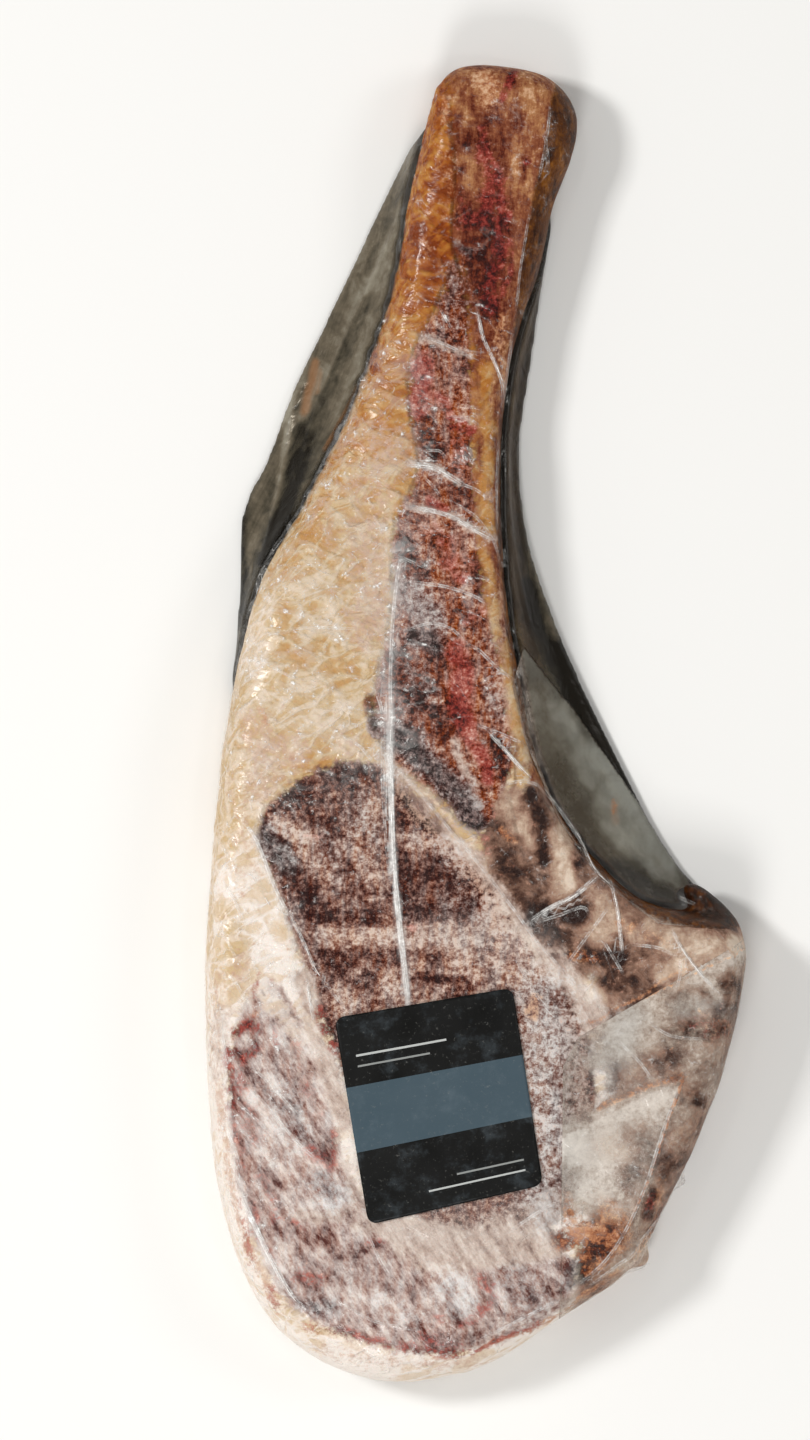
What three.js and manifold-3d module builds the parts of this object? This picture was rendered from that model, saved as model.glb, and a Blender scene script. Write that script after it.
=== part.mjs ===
// A raw tomahawk steak in a clear vacuum bag, lying on its back with a cut face up.
// Millimetres. +Y runs along the rib towards the sawn end, +Z points out of the shown face.
// The origin is at the middle of the underside.

import * as THREE from 'three';
import { mergeVertices } from 'three/addons/utils/BufferGeometryUtils.js';
import Module from 'manifold-3d';

// Driving sizes

const BODY_THICKNESS = 38; // the round end with the eye of the rib
const SHOULDER_THICKNESS = 31; // where the long rib leaves the meat
const HANDLE_THICKNESS = 26; // the middle of the long rib
const BONE_END_THICKNESS = 29; // the flared sawn end of the rib
const WAIST = 0.45; // the sides bulge most at this share of the thickness
const UNDERSIDE_ROUNDING = 6; // how far the lower edge curls in

const GAP = 0.3; // clearance between neighbours
const FILM_THICKNESS = 0.7; // wall of the bag
const TRAY_HEIGHT = 15; // the bag's back sheet comes up the sides this far
const WEB_EDGE = 2.4; // thickness of the free film at its outer edge
const WEB_TOP = 0.7; // the free film meets the meat at this share of the thickness
const WEB_SAG = 1.4; // over 1 the free film is drawn in between the meat and its edge
const WEB_OVERLAP = 4; // how far a web is built on into the meat before it is cut
const WEB_CURL = 1.2; // the outer edge of a web curls in this far below

const GUARD_THICKNESS = 0.8; // sheet that keeps the sawn bone from piercing the bag
const GUARD_ABOVE = TRAY_HEIGHT + GAP;

// The label is a little askew, as it is bent over the round meat
const LABEL_CORNERS = [[-46.9, -96.3], [-35.5, -165.6], [22, -152.4], [11.7, -86.4]];
const LABEL_ROUNDING = 3.2;

// Mesh fineness

const OUTLINE_SAMPLES = 480;
const STATION_STEP = 9; // longest step between two cross-sections, along either edge
const END_STEP = 0.7; // the first and last cross-sections lie this far inside the tips
const ROUND_STEPS = [0.07, 0.29, 0.62, 1.05]; // points over a shoulder, as shares of its width
const TOP_SPANS = 8; // between the two shoulders
const UNDERSIDE_SHARES = [0.1, 0.4, 1]; // points round the lower edge, from the waist to the flat
const UNDERSIDE_STEP = 0.5;
const STEP_SHRINK = 0.85; // a step that is too long is shortened by this share at a time
const WIDEST_SHOULDER = 0.42; // a shoulder is at most this share of the section's width
const WIDEST_UNDERCUT = 0.45; // and so is the rounding of the underside
const WEB_STEP = 9;
const WEB_SHARES = [0, 0.3, 0.6, 0.82, 1]; // points over a web, from its outer edge to the meat
const WEB_EDGE_SAMPLES = 120;
const WEB_TIP_INSET = 2; // a web's end points lie this far inside its edge
const WEB_TIP_HEIGHT = 1;
const CUT_SAMPLES = 3; // points between two knots of a cut's outline
const CUT_LOW = -20; // cuts through the whole steak run from here
const CUT_HIGH = 90; // up to here
const LABEL_CORNER_STEPS = 4;
const SHARPEST_MITRE = 2; // a widened outline's corners move out at most this many times the distance
const BEYOND = 300; // cuts that leave the outline run out this far

// The outline of meat and bone as they lie, from above, clockwise from the sawn end.
const STEAK_OUTLINE = [
  [-5.5, 218.7], [-13.5, 212], [-17.5, 198.5], [-22.4, 177.5], [-27.4, 150], [-33.2, 129.5],
  [-45, 99], [-58.5, 72.5], [-71.5, 49.5], [-79.5, 21], [-84.6, -7], [-88, -40], [-90.8, -80],
  [-90, -115], [-87, -150], [-79, -181], [-62, -206], [-33, -219.2], [0, -215.6], [32, -196],
  [52, -182.2], [60, -168], [74, -140], [84, -112], [90, -84], [90.4, -71], [85, -65],
  [70, -61.4], [58, -59], [44, -48.5], [31, -33], [22, -14], [16.2, 13.5], [11.4, 40],
  [9.6, 70], [10.4, 104], [15, 129], [22.4, 150], [27.8, 174], [34.4, 191], [34.6, 203],
  [28, 213.3], [13, 218.5],
];

// The free outer edge of the film where it spans a hollow of the outline.
const LEFT_WEB_EDGE = [
  [-16.6, 201], [-27.5, 180.5], [-50, 133.5], [-60.5, 112], [-70, 86.5], [-77.6, 71], [-78.8, 45],
  [-80, 24], [-82.6, 6],
];
const RIGHT_WEB_EDGE = [
  [27, 173.5], [23.6, 153.5], [18.6, 118], [15, 92], [17.2, 64], [24.2, 40.7], [35.2, 14],
  [48.2, -12.7], [62.5, -39.3], [75, -56], [87, -66],
];

// How far in from the outline the flat of the cut face starts, by place along the steak.
const LEFT_SHOULDER = [
  [-219, 15], [-150, 13], [-60, 9], [0, 9], [50, 14], [100, 14], [150, 12], [200, 8], [219, 5],
];
const RIGHT_SHOULDER = [
  [-219, 15], [-150, 9], [-75, 7], [-50, 5.5], [0, 4.5], [60, 4.5], [117, 5], [150, 9], [175, 11], [197, 13],
  [209, 7], [219, 5],
];
const THICKNESS = [
  [-219, 0.86 * BODY_THICKNESS], [-180, 0.96 * BODY_THICKNESS], [-120, BODY_THICKNESS],
  [-50, 0.97 * BODY_THICKNESS], [0, 0.9 * BODY_THICKNESS], [45, SHOULDER_THICKNESS],
  [100, 1.04 * HANDLE_THICKNESS], [145, HANDLE_THICKNESS], [190, BONE_END_THICKNESS],
  [219, 0.9 * BONE_END_THICKNESS],
];

// Soft swells and hollows of the cut face: centre, reach both ways, turn in degrees, height.
const SWELLS = [
  { at: [-22, -85], reach: [38, 62], turn: 12, rise: 1.6 }, // eye of the rib
  { at: [-58, -125], reach: [14, 45], turn: 8, rise: 0.9 }, // cap, down the left
  { at: [-10, -192], reach: [42, 12], turn: -6, rise: 0.8 }, // cap, round the bottom
  { at: [-50, 15], reach: [22, 42], turn: -8, rise: 1.6 }, // wedge of fat
  { at: [-9, 70], reach: [8, 62], turn: 4, rise: -1.6 }, // sunken strip of meat beside the rib
  { at: [3, 195], reach: [8, 30], turn: 0, rise: -1.1 }, // sawn channel near the end of the rib
  { at: [-27, -3], reach: [4, 16], turn: 0, rise: -1.4 }, // notch between wedge and tail
  { at: [12, -72], reach: [5, 60], turn: 38, rise: -1.0 }, // seam below the eye's fat line
  { at: [70, -78], reach: [16, 9], turn: -15, rise: 1.4 }, // corner of the chine
  { at: [60, -150], reach: [22, 40], turn: -25, rise: -4.5 }, // the chine's thin lower edge
  { at: [35, -62], reach: [14, 12], turn: 30, rise: -1.8 }, // hollow below the rib's joint
];
const RIPPLE_HEIGHT = 0.35;
const RIPPLE_LENGTH = 31;

// Outlines of the cuts between one piece and the next. A closed loop lies all inside the face.
const EYE_LOOP = [
  [-72.3, -34], [-62, -21.5], [-46.5, -13.6], [-31, -14], [-16.5, -28.5], [-3, -43.5],
  [13, -59], [27, -77.5], [36, -98], [39.5, -124], [36, -150], [26, -163.5], [6, -168.5],
  [-13, -166], [-27.5, -157], [-36, -139], [-43, -117], [-51, -95], [-58.5, -74], [-66.5, -52],
];
const CAP_LOOP = [
  [-68.5, -83.5], [-77.5, -97], [-81.4, -120], [-79.5, -146], [-72.5, -172], [-61, -192],
  [-40, -203.5], [-14, -208.5], [10, -203.5], [30, -192], [40, -180.5], [28, -175.5],
  [8, -178.5], [-13, -176.5], [-29, -167.5], [-41.5, -149], [-48.5, -124], [-56.5, -101],
];
const TAIL_LOOP = [
  [-8, 148], [-13.5, 136], [-21.5, 120], [-21, 100], [-18.5, 84], [-26.5, 66], [-27.8, 36],
  [-33.5, 7], [-28.5, -12], [-14.5, -22.5], [-1, -36], [5, -36], [9.8, -22], [12, -8],
  [9.5, 16], [3.5, 38], [0.5, 62], [-0.8, 84], [-1, 112], [-2, 138],
];
// The rib's border with the fat and the meat beside it, from the sawn end down.
const RIB_BORDER = [
  [-9.5, 224], [-8.2, 205], [-6.4, 181], [-7.6, 160], [-4, 146], [-1.2, 126], [-0.6, 100],
  [0.4, 68], [3.6, 40], [9.6, 16], [12.3, -9], [14, -24],
];
const RIB_FAR = [[34, -31], [60, -20], [BEYOND, 40], [BEYOND, BEYOND], [-9.5, BEYOND]];
// The chine's border with the fat line of the eye, from the rib's foot down.
const CHINE_BORDER = [
  [11, -22], [17, -47], [26, -66], [38, -84], [43, -104], [43.4, -128], [39, -155], [33, -178],
  [32, -192],
];
const CHINE_FAR = [[32, -BEYOND], [BEYOND, -BEYOND], [BEYOND, 0], [40, 0]];
// The bone guard's edge: along the wall above the chine, over its corner, then across the face.
const GUARD_BORDER = [
  [54, -58], [64, -66], [78, -69.5], [84, -74], [71, -83.5], [50, -95], [36, -102], [31.5, -113],
  [29, -150], [26.5, -189],
];
const GUARD_FAR = [[40, -193], [BEYOND, -193], [BEYOND, -40], [54, -40]];
const FLAP_OUTLINE = [
  [16.4, 24], [28, 9], [41, -8.5], [54, -26], [66, -44], [75, -56], [89, -66], [80, -72], [52, -70],
  [30, -40], [12, 0],
];

// Surface colours, seen on the real food under its film

const FINISHES = {
  fat: { color: 0xd3b98c, roughness: 0.5 },
  muscle: { color: 0x6e474b, roughness: 0.45 },
  tail: { color: 0x74383a, roughness: 0.45 },
  bone: { color: 0xa8794c, roughness: 0.5 },
  chine: { color: 0x9c8270, roughness: 0.5 },
  guard: { color: 0xc4c2b2, roughness: 0.6 },
  film: { color: 0x60615a, roughness: 0.2 },
  label: { color: 0x191916, roughness: 0.4 },
};

const wasm = await Module();
wasm.setup();

// Curves

const corner = (x, y) => new THREE.Vector2(x, y);

function smoothCurve(knots, closed) {
  const points = knots.map(([x, y]) => new THREE.Vector3(x, y, 0));
  return new THREE.CatmullRomCurve3(points, closed, 'centripetal');
}

function smoothLoop(knots, samples = CUT_SAMPLES * knots.length) {
  return smoothCurve(knots, true).getSpacedPoints(samples).slice(0, -1).map((p) => corner(p.x, p.y));
}

function smoothPath(knots, samples = CUT_SAMPLES * (knots.length - 1)) {
  return smoothCurve(knots, false).getPoints(samples).map((p) => corner(p.x, p.y));
}

// The value at one place of a smooth table of [place, value] knots, with level ends.
function along(knots, place) {
  if (place <= knots[0][0]) return knots[0][1];
  const last = knots.length - 1;
  if (place >= knots[last][0]) return knots[last][1];
  const i = knots.findIndex(([at]) => at > place) - 1;
  const t = (place - knots[i][0]) / (knots[i + 1][0] - knots[i][0]);
  return THREE.MathUtils.lerp(knots[i][1], knots[i + 1][1], t * t * (3 - 2 * t));
}

// Where the horizontal line at y crosses a polyline: the x values of all crossings.
function crossings(points, y, closed) {
  const found = [];
  const count = closed ? points.length : points.length - 1;
  for (let i = 0; i < count; i += 1) {
    const a = points[i];
    const b = points[(i + 1) % points.length];
    if ((a.y > y) !== (b.y > y)) found.push(a.x + ((y - a.y) / (b.y - a.y)) * (b.x - a.x));
  }
  return found;
}

function distanceTo(points, x, y) {
  let least = Infinity;
  for (let i = 0; i < points.length; i += 1) {
    const a = points[i];
    const b = points[(i + 1) % points.length];
    const edge = b.clone().sub(a);
    const t = THREE.MathUtils.clamp(((x - a.x) * edge.x + (y - a.y) * edge.y) / edge.lengthSq(), 0, 1);
    least = Math.min(least, Math.hypot(a.x + t * edge.x - x, a.y + t * edge.y - y));
  }
  return least;
}

// The height of the steak over its outline

const outline = smoothLoop(STEAK_OUTLINE, OUTLINE_SAMPLES);
const TOP_TIP = outline.reduce((a, b) => (b.y > a.y ? b : a));
const LOW_TIP = outline.reduce((a, b) => (b.y < a.y ? b : a));

function span(y) {
  const found = crossings(outline, y, true);
  return [Math.min(...found), Math.max(...found)];
}

// A quarter of an ellipse: 0 at the edge, 1 from the given width inwards.
function rounding(distance, width) {
  const t = THREE.MathUtils.clamp(1 - distance / width, 0, 1);
  return Math.sqrt(1 - t * t);
}

function swell({ at, reach, turn, rise }, x, y) {
  const angle = THREE.MathUtils.degToRad(turn);
  const dx = x - at[0];
  const dy = y - at[1];
  const across = (dx * Math.cos(angle) + dy * Math.sin(angle)) / reach[0];
  const lengthwise = (dy * Math.cos(angle) - dx * Math.sin(angle)) / reach[1];
  return rise * Math.exp(-(across * across + lengthwise * lengthwise));
}

function ripple(x, y) {
  const turn = (2 * Math.PI) / RIPPLE_LENGTH;
  return RIPPLE_HEIGHT * (Math.sin(turn * (x + 0.4 * y)) + Math.sin(turn * (0.8 * y - 0.5 * x) + 1));
}

function faceHeight(x, y) {
  const relief = SWELLS.reduce((sum, one) => sum + swell(one, x, y), ripple(x, y));
  return along(THICKNESS, y) + relief;
}

function waistHeight(y) {
  return WAIST * along(THICKNESS, y);
}

function topHeight(x, y, share) {
  const width = THREE.MathUtils.lerp(along(LEFT_SHOULDER, y), along(RIGHT_SHOULDER, y), share);
  const round = rounding(distanceTo(outline, x, y), width);
  return THREE.MathUtils.lerp(waistHeight(y), faceHeight(x, y), round);
}

function underHeight(x, y) {
  return waistHeight(y) * (1 - rounding(distanceTo(outline, x, y), UNDERSIDE_ROUNDING));
}

// Cross-sections, closer together where the outline turns

function edgeShift(y, next) {
  const [leftA, rightA] = span(y);
  const [leftB, rightB] = span(next);
  return Math.max(Math.hypot(leftB - leftA, next - y), Math.hypot(rightB - rightA, next - y));
}

function stations() {
  const found = [TOP_TIP.y - END_STEP];
  const end = LOW_TIP.y + END_STEP;
  while (found[found.length - 1] > end) {
    const y = found[found.length - 1];
    let step = STATION_STEP;
    while (step > END_STEP && edgeShift(y, Math.max(end, y - step)) > STATION_STEP) step *= STEP_SHRINK;
    found.push(Math.max(end, y - step));
  }
  return found;
}

// The first place, going inwards from x, that lies on the flat of the underside.
function flatPlace(x, y, inwards, limit) {
  let at = x;
  while (Math.abs(at - x) < limit && distanceTo(outline, at, y) < UNDERSIDE_ROUNDING) at += inwards;
  return at;
}

// One closed ring: over the face from left to right, and back along the underside.
function steakRing(y) {
  const [left, right] = span(y);
  const width = right - left;
  const reach = (shoulder) => Math.min(shoulder, WIDEST_SHOULDER * width);
  const leftWidth = reach(along(LEFT_SHOULDER, y));
  const rightWidth = reach(along(RIGHT_SHOULDER, y));
  const flatLeft = flatPlace(left, y, UNDERSIDE_STEP, WIDEST_UNDERCUT * width);
  const flatRight = flatPlace(right, y, -UNDERSIDE_STEP, WIDEST_UNDERCUT * width);
  const innerLeft = left + ROUND_STEPS.at(-1) * leftWidth;
  const innerRight = right - ROUND_STEPS.at(-1) * rightWidth;
  const inner = Array.from({ length: TOP_SPANS - 1 }, (_, i) => (i + 1) / TOP_SPANS);
  const top = [
    ...ROUND_STEPS.map((s) => left + s * leftWidth),
    ...inner.map((s) => THREE.MathUtils.lerp(innerLeft, innerRight, s)),
    ...ROUND_STEPS.map((s) => right - s * rightWidth).reverse(),
  ];
  const under = [
    ...UNDERSIDE_SHARES.map((s) => THREE.MathUtils.lerp(right, flatRight, s)),
    ...UNDERSIDE_SHARES.map((s) => THREE.MathUtils.lerp(left, flatLeft, s)).reverse(),
  ];
  const waist = waistHeight(y);
  return [
    [left, y, waist],
    ...top.map((x) => [x, y, topHeight(x, y, (x - left) / width)]),
    [right, y, waist],
    ...under.map((x) => [x, y, underHeight(x, y)]),
  ];
}

// A closed skin over a row of rings of equal count, with a point at either end.
function loft(rings, startTip, endTip) {
  const count = rings[0].length;
  const positions = [...rings.flat(), startTip, endTip];
  const start = rings.length * count;
  const end = start + 1;
  const index = [];
  for (let i = 0; i < rings.length - 1; i += 1) {
    for (let j = 0; j < count; j += 1) {
      const a = i * count + j;
      const b = i * count + ((j + 1) % count);
      index.push(a, a + count, b, b, a + count, b + count);
    }
  }
  const lastRing = (rings.length - 1) * count;
  for (let j = 0; j < count; j += 1) {
    const next = (j + 1) % count;
    index.push(start, j, next);
    index.push(end, lastRing + next, lastRing + j);
  }
  const geometry = new THREE.BufferGeometry();
  geometry.setAttribute('position', new THREE.Float32BufferAttribute(positions.flat(), 3));
  geometry.setIndex(index);
  return geometry;
}

// The same skin with every point moved out along its normal, or in for a negative distance.
function grown(geometry, distance) {
  const copy = geometry.clone();
  copy.computeVertexNormals();
  const { position, normal } = copy.attributes;
  for (let i = 0; i < position.count; i += 1) {
    position.setXYZ(
      i,
      position.getX(i) + distance * normal.getX(i),
      position.getY(i) + distance * normal.getY(i),
      position.getZ(i) + distance * normal.getZ(i),
    );
  }
  return copy;
}

// Solids that can be joined and cut

function solid(geometry) {
  const bare = geometry.clone();
  bare.deleteAttribute('normal');
  bare.deleteAttribute('uv');
  const merged = mergeVertices(bare, 1e-4);
  const mesh = new wasm.Mesh({
    numProp: 3,
    vertProperties: new Float32Array(merged.attributes.position.array),
    triVerts: new Uint32Array(merged.index.array),
  });
  return new wasm.Manifold(mesh);
}

function prism(points, from = CUT_LOW, to = CUT_HIGH) {
  const options = { depth: to - from, bevelEnabled: false };
  const geometry = new THREE.ExtrudeGeometry(new THREE.Shape(points), options);
  geometry.translate(0, 0, from);
  return solid(geometry);
}

// Everything between two heights.
function layer(from, to) {
  const geometry = new THREE.BoxGeometry(2 * BEYOND, 2 * BEYOND, to - from);
  geometry.translate(0, 0, (from + to) / 2);
  return solid(geometry);
}

// The same closed outline moved outwards.
function widened(points, distance) {
  const turn = Math.sign(THREE.ShapeUtils.area(points));
  return points.map((p, i) => {
    const before = p.clone().sub(points.at(i - 1)).normalize();
    const after = points[(i + 1) % points.length].clone().sub(p).normalize();
    const normal = new THREE.Vector2(before.y + after.y, -before.x - after.x).normalize();
    const mitre = Math.min(SHARPEST_MITRE, 1 / Math.abs(normal.x * before.y - normal.y * before.x));
    return p.clone().addScaledVector(normal, turn * distance * mitre);
  });
}

function largest(cut) {
  return cut.decompose().reduce((a, b) => (b.volume() > a.volume() ? b : a));
}

function named(cut, name, finish) {
  const { vertProperties, triVerts } = largest(cut).getMesh();
  const geometry = new THREE.BufferGeometry();
  geometry.setAttribute('position', new THREE.BufferAttribute(new Float32Array(vertProperties), 3));
  geometry.setIndex(new THREE.BufferAttribute(new Uint32Array(triVerts), 1));
  geometry.computeVertexNormals();
  const material = new THREE.MeshStandardMaterial({ ...FINISHES[finish], metalness: 0 });
  const mesh = new THREE.Mesh(geometry, material);
  mesh.name = name;
  return mesh;
}

// The skins: the pack's outside, the pocket in the bag, and the food

const packSkin = loft(
  stations().map(steakRing),
  [TOP_TIP.x, TOP_TIP.y, waistHeight(TOP_TIP.y)],
  [LOW_TIP.x, LOW_TIP.y, waistHeight(LOW_TIP.y)],
);
const pack = solid(packSkin);
const pocket = solid(grown(packSkin, -FILM_THICKNESS));
const food = solid(grown(packSkin, -FILM_THICKNESS - GAP)).intersect(pocket);
const overFood = solid(grown(packSkin, GUARD_THICKNESS - FILM_THICKNESS));

// One section of a web: below from the meat out, then up over its edge and back to the meat. The film
// leaves the meat partway round its shoulder, where the shoulder has the height WEB_TOP.
function webRing(edge, side, y, lift) {
  const [left, right] = span(y);
  const outer = crossings(edge, y, false)[0];
  const shoulder = along(side < 0 ? LEFT_SHOULDER : RIGHT_SHOULDER, y);
  const round = (WEB_TOP - WAIST) / (1 - WAIST);
  const leave = (side < 0 ? left : right) - side * shoulder * (1 - Math.sqrt(1 - round * round));
  const inner = leave - side * WEB_OVERLAP;
  const topZ = WEB_TOP * along(THICKNESS, y);
  const slope = WEB_SHARES.map((s) => {
    const height = WEB_EDGE + (topZ - WEB_EDGE) * s ** WEB_SAG;
    return [THREE.MathUtils.lerp(outer, leave, s), y, lift + height];
  });
  const below = [[inner, y, lift], [outer - side * WEB_CURL, y, lift], [outer, y, lift + WEB_EDGE / 2]];
  return [...below, ...slope, [inner, y, lift + topZ]];
}

// The right web's rings run the other way round, which turns its skin inside out, so it is flipped.
function flipped(geometry) {
  const index = geometry.index.array;
  for (let i = 0; i < index.length; i += 3) [index[i], index[i + 1]] = [index[i + 1], index[i]];
  return geometry;
}

// The free film beside the rib: a wedge from the meat's side down to a thin outer edge.
function web(edgeKnots, side, lift = 0) {
  const edge = smoothPath(edgeKnots, WEB_EDGE_SAMPLES);
  const [high, low] = [edge[0], edge.at(-1)];
  const rows = Math.round((high.y - low.y) / WEB_STEP);
  const rings = Array.from({ length: rows - 1 }, (_, i) => {
    const y = THREE.MathUtils.lerp(high.y, low.y, (i + 1) / rows);
    return webRing(edge, side, y, lift);
  });
  const [start, end] = [high, low].map((p) => [p.x - side * WEB_TIP_INSET, p.y, WEB_TIP_HEIGHT + lift]);
  const skin = loft(rings, start, end);
  return solid(side < 0 ? skin : flipped(skin));
}

const leftWeb = web(LEFT_WEB_EDGE, -1);
const rightWeb = web(RIGHT_WEB_EDGE, 1);

// The cuts

const eyeLine = smoothLoop(EYE_LOOP);
const capLine = smoothLoop(CAP_LOOP);
const tailLine = smoothLoop(TAIL_LOOP);
const flapLine = FLAP_OUTLINE.map(([x, y]) => corner(x, y));
const [ribLine, chineLine, guardLine] = [
  [RIB_BORDER, RIB_FAR], [CHINE_BORDER, CHINE_FAR], [GUARD_BORDER, GUARD_FAR],
].map(([border, far]) => [...smoothPath(border), ...far.map(([x, y]) => corner(x, y))]);

// The room that a piece takes out of its neighbours
const [ribRoom, chineRoom, tailRoom, eyeRoom, capRoom] = [
  ribLine, chineLine, tailLine, eyeLine, capLine,
].map((line) => prism(widened(line, GAP)));

const rib = food.intersect(prism(ribLine));
const chine = food.intersect(prism(chineLine)).subtract(ribRoom);
const tail = food.intersect(prism(tailLine)).subtract(ribRoom).subtract(chineRoom);
const eye = food.intersect(prism(eyeLine)).subtract(chineRoom).subtract(tailRoom);
const cap = food.intersect(prism(capLine)).subtract(eyeRoom).subtract(chineRoom);
const fat = [ribRoom, chineRoom, tailRoom, eyeRoom, capRoom]
  .reduce((rest, room) => rest.subtract(room), food);

// The bag's back sheet with its low sides and the two webs, open where the meat shows
const bag = pack.intersect(layer(-1, TRAY_HEIGHT)).add(leftWeb).add(rightWeb).subtract(pocket);

// The bone guard: a sheet over the chine, with a flap in the right web
const above = layer(GUARD_ABOVE, CUT_HIGH);
const rightWebRoom = web(RIGHT_WEB_EDGE, 1, GAP);
const overFace = overFood.subtract(pocket).intersect(prism(guardLine)).intersect(above);
const flap = web(RIGHT_WEB_EDGE, 1, GAP + GUARD_THICKNESS).intersect(prism(flapLine));
const guard = overFace.add(flap.subtract(pocket)).subtract(rightWebRoom).intersect(above);

// The label lies on the film over the eye
function labelLine() {
  const knots = LABEL_CORNERS.map(([x, y]) => corner(x, y));
  return knots.flatMap((knot, i) => {
    const [from, to] = [knots.at(i - 1), knots[(i + 1) % knots.length]].map(
      (next) => knot.clone().lerp(next, LABEL_ROUNDING / knot.distanceTo(next)),
    );
    return new THREE.QuadraticBezierCurve(from, knot, to).getPoints(LABEL_CORNER_STEPS);
  });
}
const label = overFood.subtract(pocket).intersect(prism(labelLine(), BODY_THICKNESS / 2));

const steak = new THREE.Group();
steak.add(
  named(fat, 'fat_cover', 'fat'),
  named(eye, 'eye_muscle', 'muscle'),
  named(cap, 'cap_muscle', 'muscle'),
  named(tail, 'rib_meat', 'tail'),
  named(rib, 'rib_bone', 'bone'),
  named(chine, 'chine_bone', 'chine'),
  named(guard, 'bone_guard', 'guard'),
  named(bag, 'vacuum_bag', 'film'),
  named(label, 'label', 'label'),
);

// The origin goes to the middle of the underside
const box = new THREE.Box3().setFromObject(steak);
const middle = box.getCenter(new THREE.Vector3());
steak.children.forEach((mesh) => mesh.geometry.translate(-middle.x, -middle.y, -box.min.z));

export default steak;
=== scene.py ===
import itertools
import math
from functools import partial

import bmesh
import bpy
import numpy as np
from bpy.props import FloatProperty, IntProperty, PointerProperty, StringProperty
from mathutils import Matrix, Vector
from mathutils.bvhtree import BVHTree


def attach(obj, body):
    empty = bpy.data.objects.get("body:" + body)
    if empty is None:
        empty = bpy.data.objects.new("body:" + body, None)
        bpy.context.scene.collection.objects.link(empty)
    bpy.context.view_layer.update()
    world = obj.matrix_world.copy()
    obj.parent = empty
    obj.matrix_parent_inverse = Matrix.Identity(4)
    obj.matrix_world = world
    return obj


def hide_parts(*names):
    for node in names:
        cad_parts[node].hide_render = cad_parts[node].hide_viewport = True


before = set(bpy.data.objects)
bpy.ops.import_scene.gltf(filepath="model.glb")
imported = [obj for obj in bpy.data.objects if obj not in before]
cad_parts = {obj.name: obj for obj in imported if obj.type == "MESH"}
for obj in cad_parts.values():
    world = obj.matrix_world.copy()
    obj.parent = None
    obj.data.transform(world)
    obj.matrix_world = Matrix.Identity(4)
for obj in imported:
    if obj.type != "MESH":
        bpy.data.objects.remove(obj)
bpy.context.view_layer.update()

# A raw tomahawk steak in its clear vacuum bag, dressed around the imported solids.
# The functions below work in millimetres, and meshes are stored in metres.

bl_info = {
    "name": "Vacuum packed tomahawk steak",
    "version": (1, 0, 0),
    "blender": (4, 5, 0),
    "location": "3D View > Sidebar > Steak",
    "description": "Builds a raw steak on the bone with its clinging film, bone guard and label",
    "category": "Object",
}

MM = 0.001
# The tissues, by the name that the meat's material reads them under, and their solids.
REGIONS = {"fat": "fat_cover", "eye": "eye_muscle", "cap": "cap_muscle", "tail": "rib_meat",
           "rib": "rib_bone", "chine": "chine_bone"}
FOOD_NODES = tuple(REGIONS.values())
# Settings of nodes that occur often: a smooth rise, and a mix of colours.
SMOOTH = {"interpolation_type": "SMOOTHSTEP"}
COLOUR = {"data_type": "RGBA", "out": 2}


# Places on the pack, in millimetres from its middle

# The edge between the cut face and the side of the rib and chine, brown and darkened with painted shade, from
# the sawn end down.
FACE_EDGE = [
    (27, 214), (24.5, 205), (22.6, 191), (19.5, 178), (17, 166), (14.8, 152), (13.6, 140), (11.8, 125),
    (9.4, 110), (7.8, 98), (6.8, 80), (6.8, 62), (8.2, 45), (10, 30), (12.6, 12), (16.4, -5),
    (20.6, -18), (28.4, -33), (36, -45), (44, -53), (53, -61), (64, -66.5), (78, -68.5), (91, -72),
]

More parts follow.
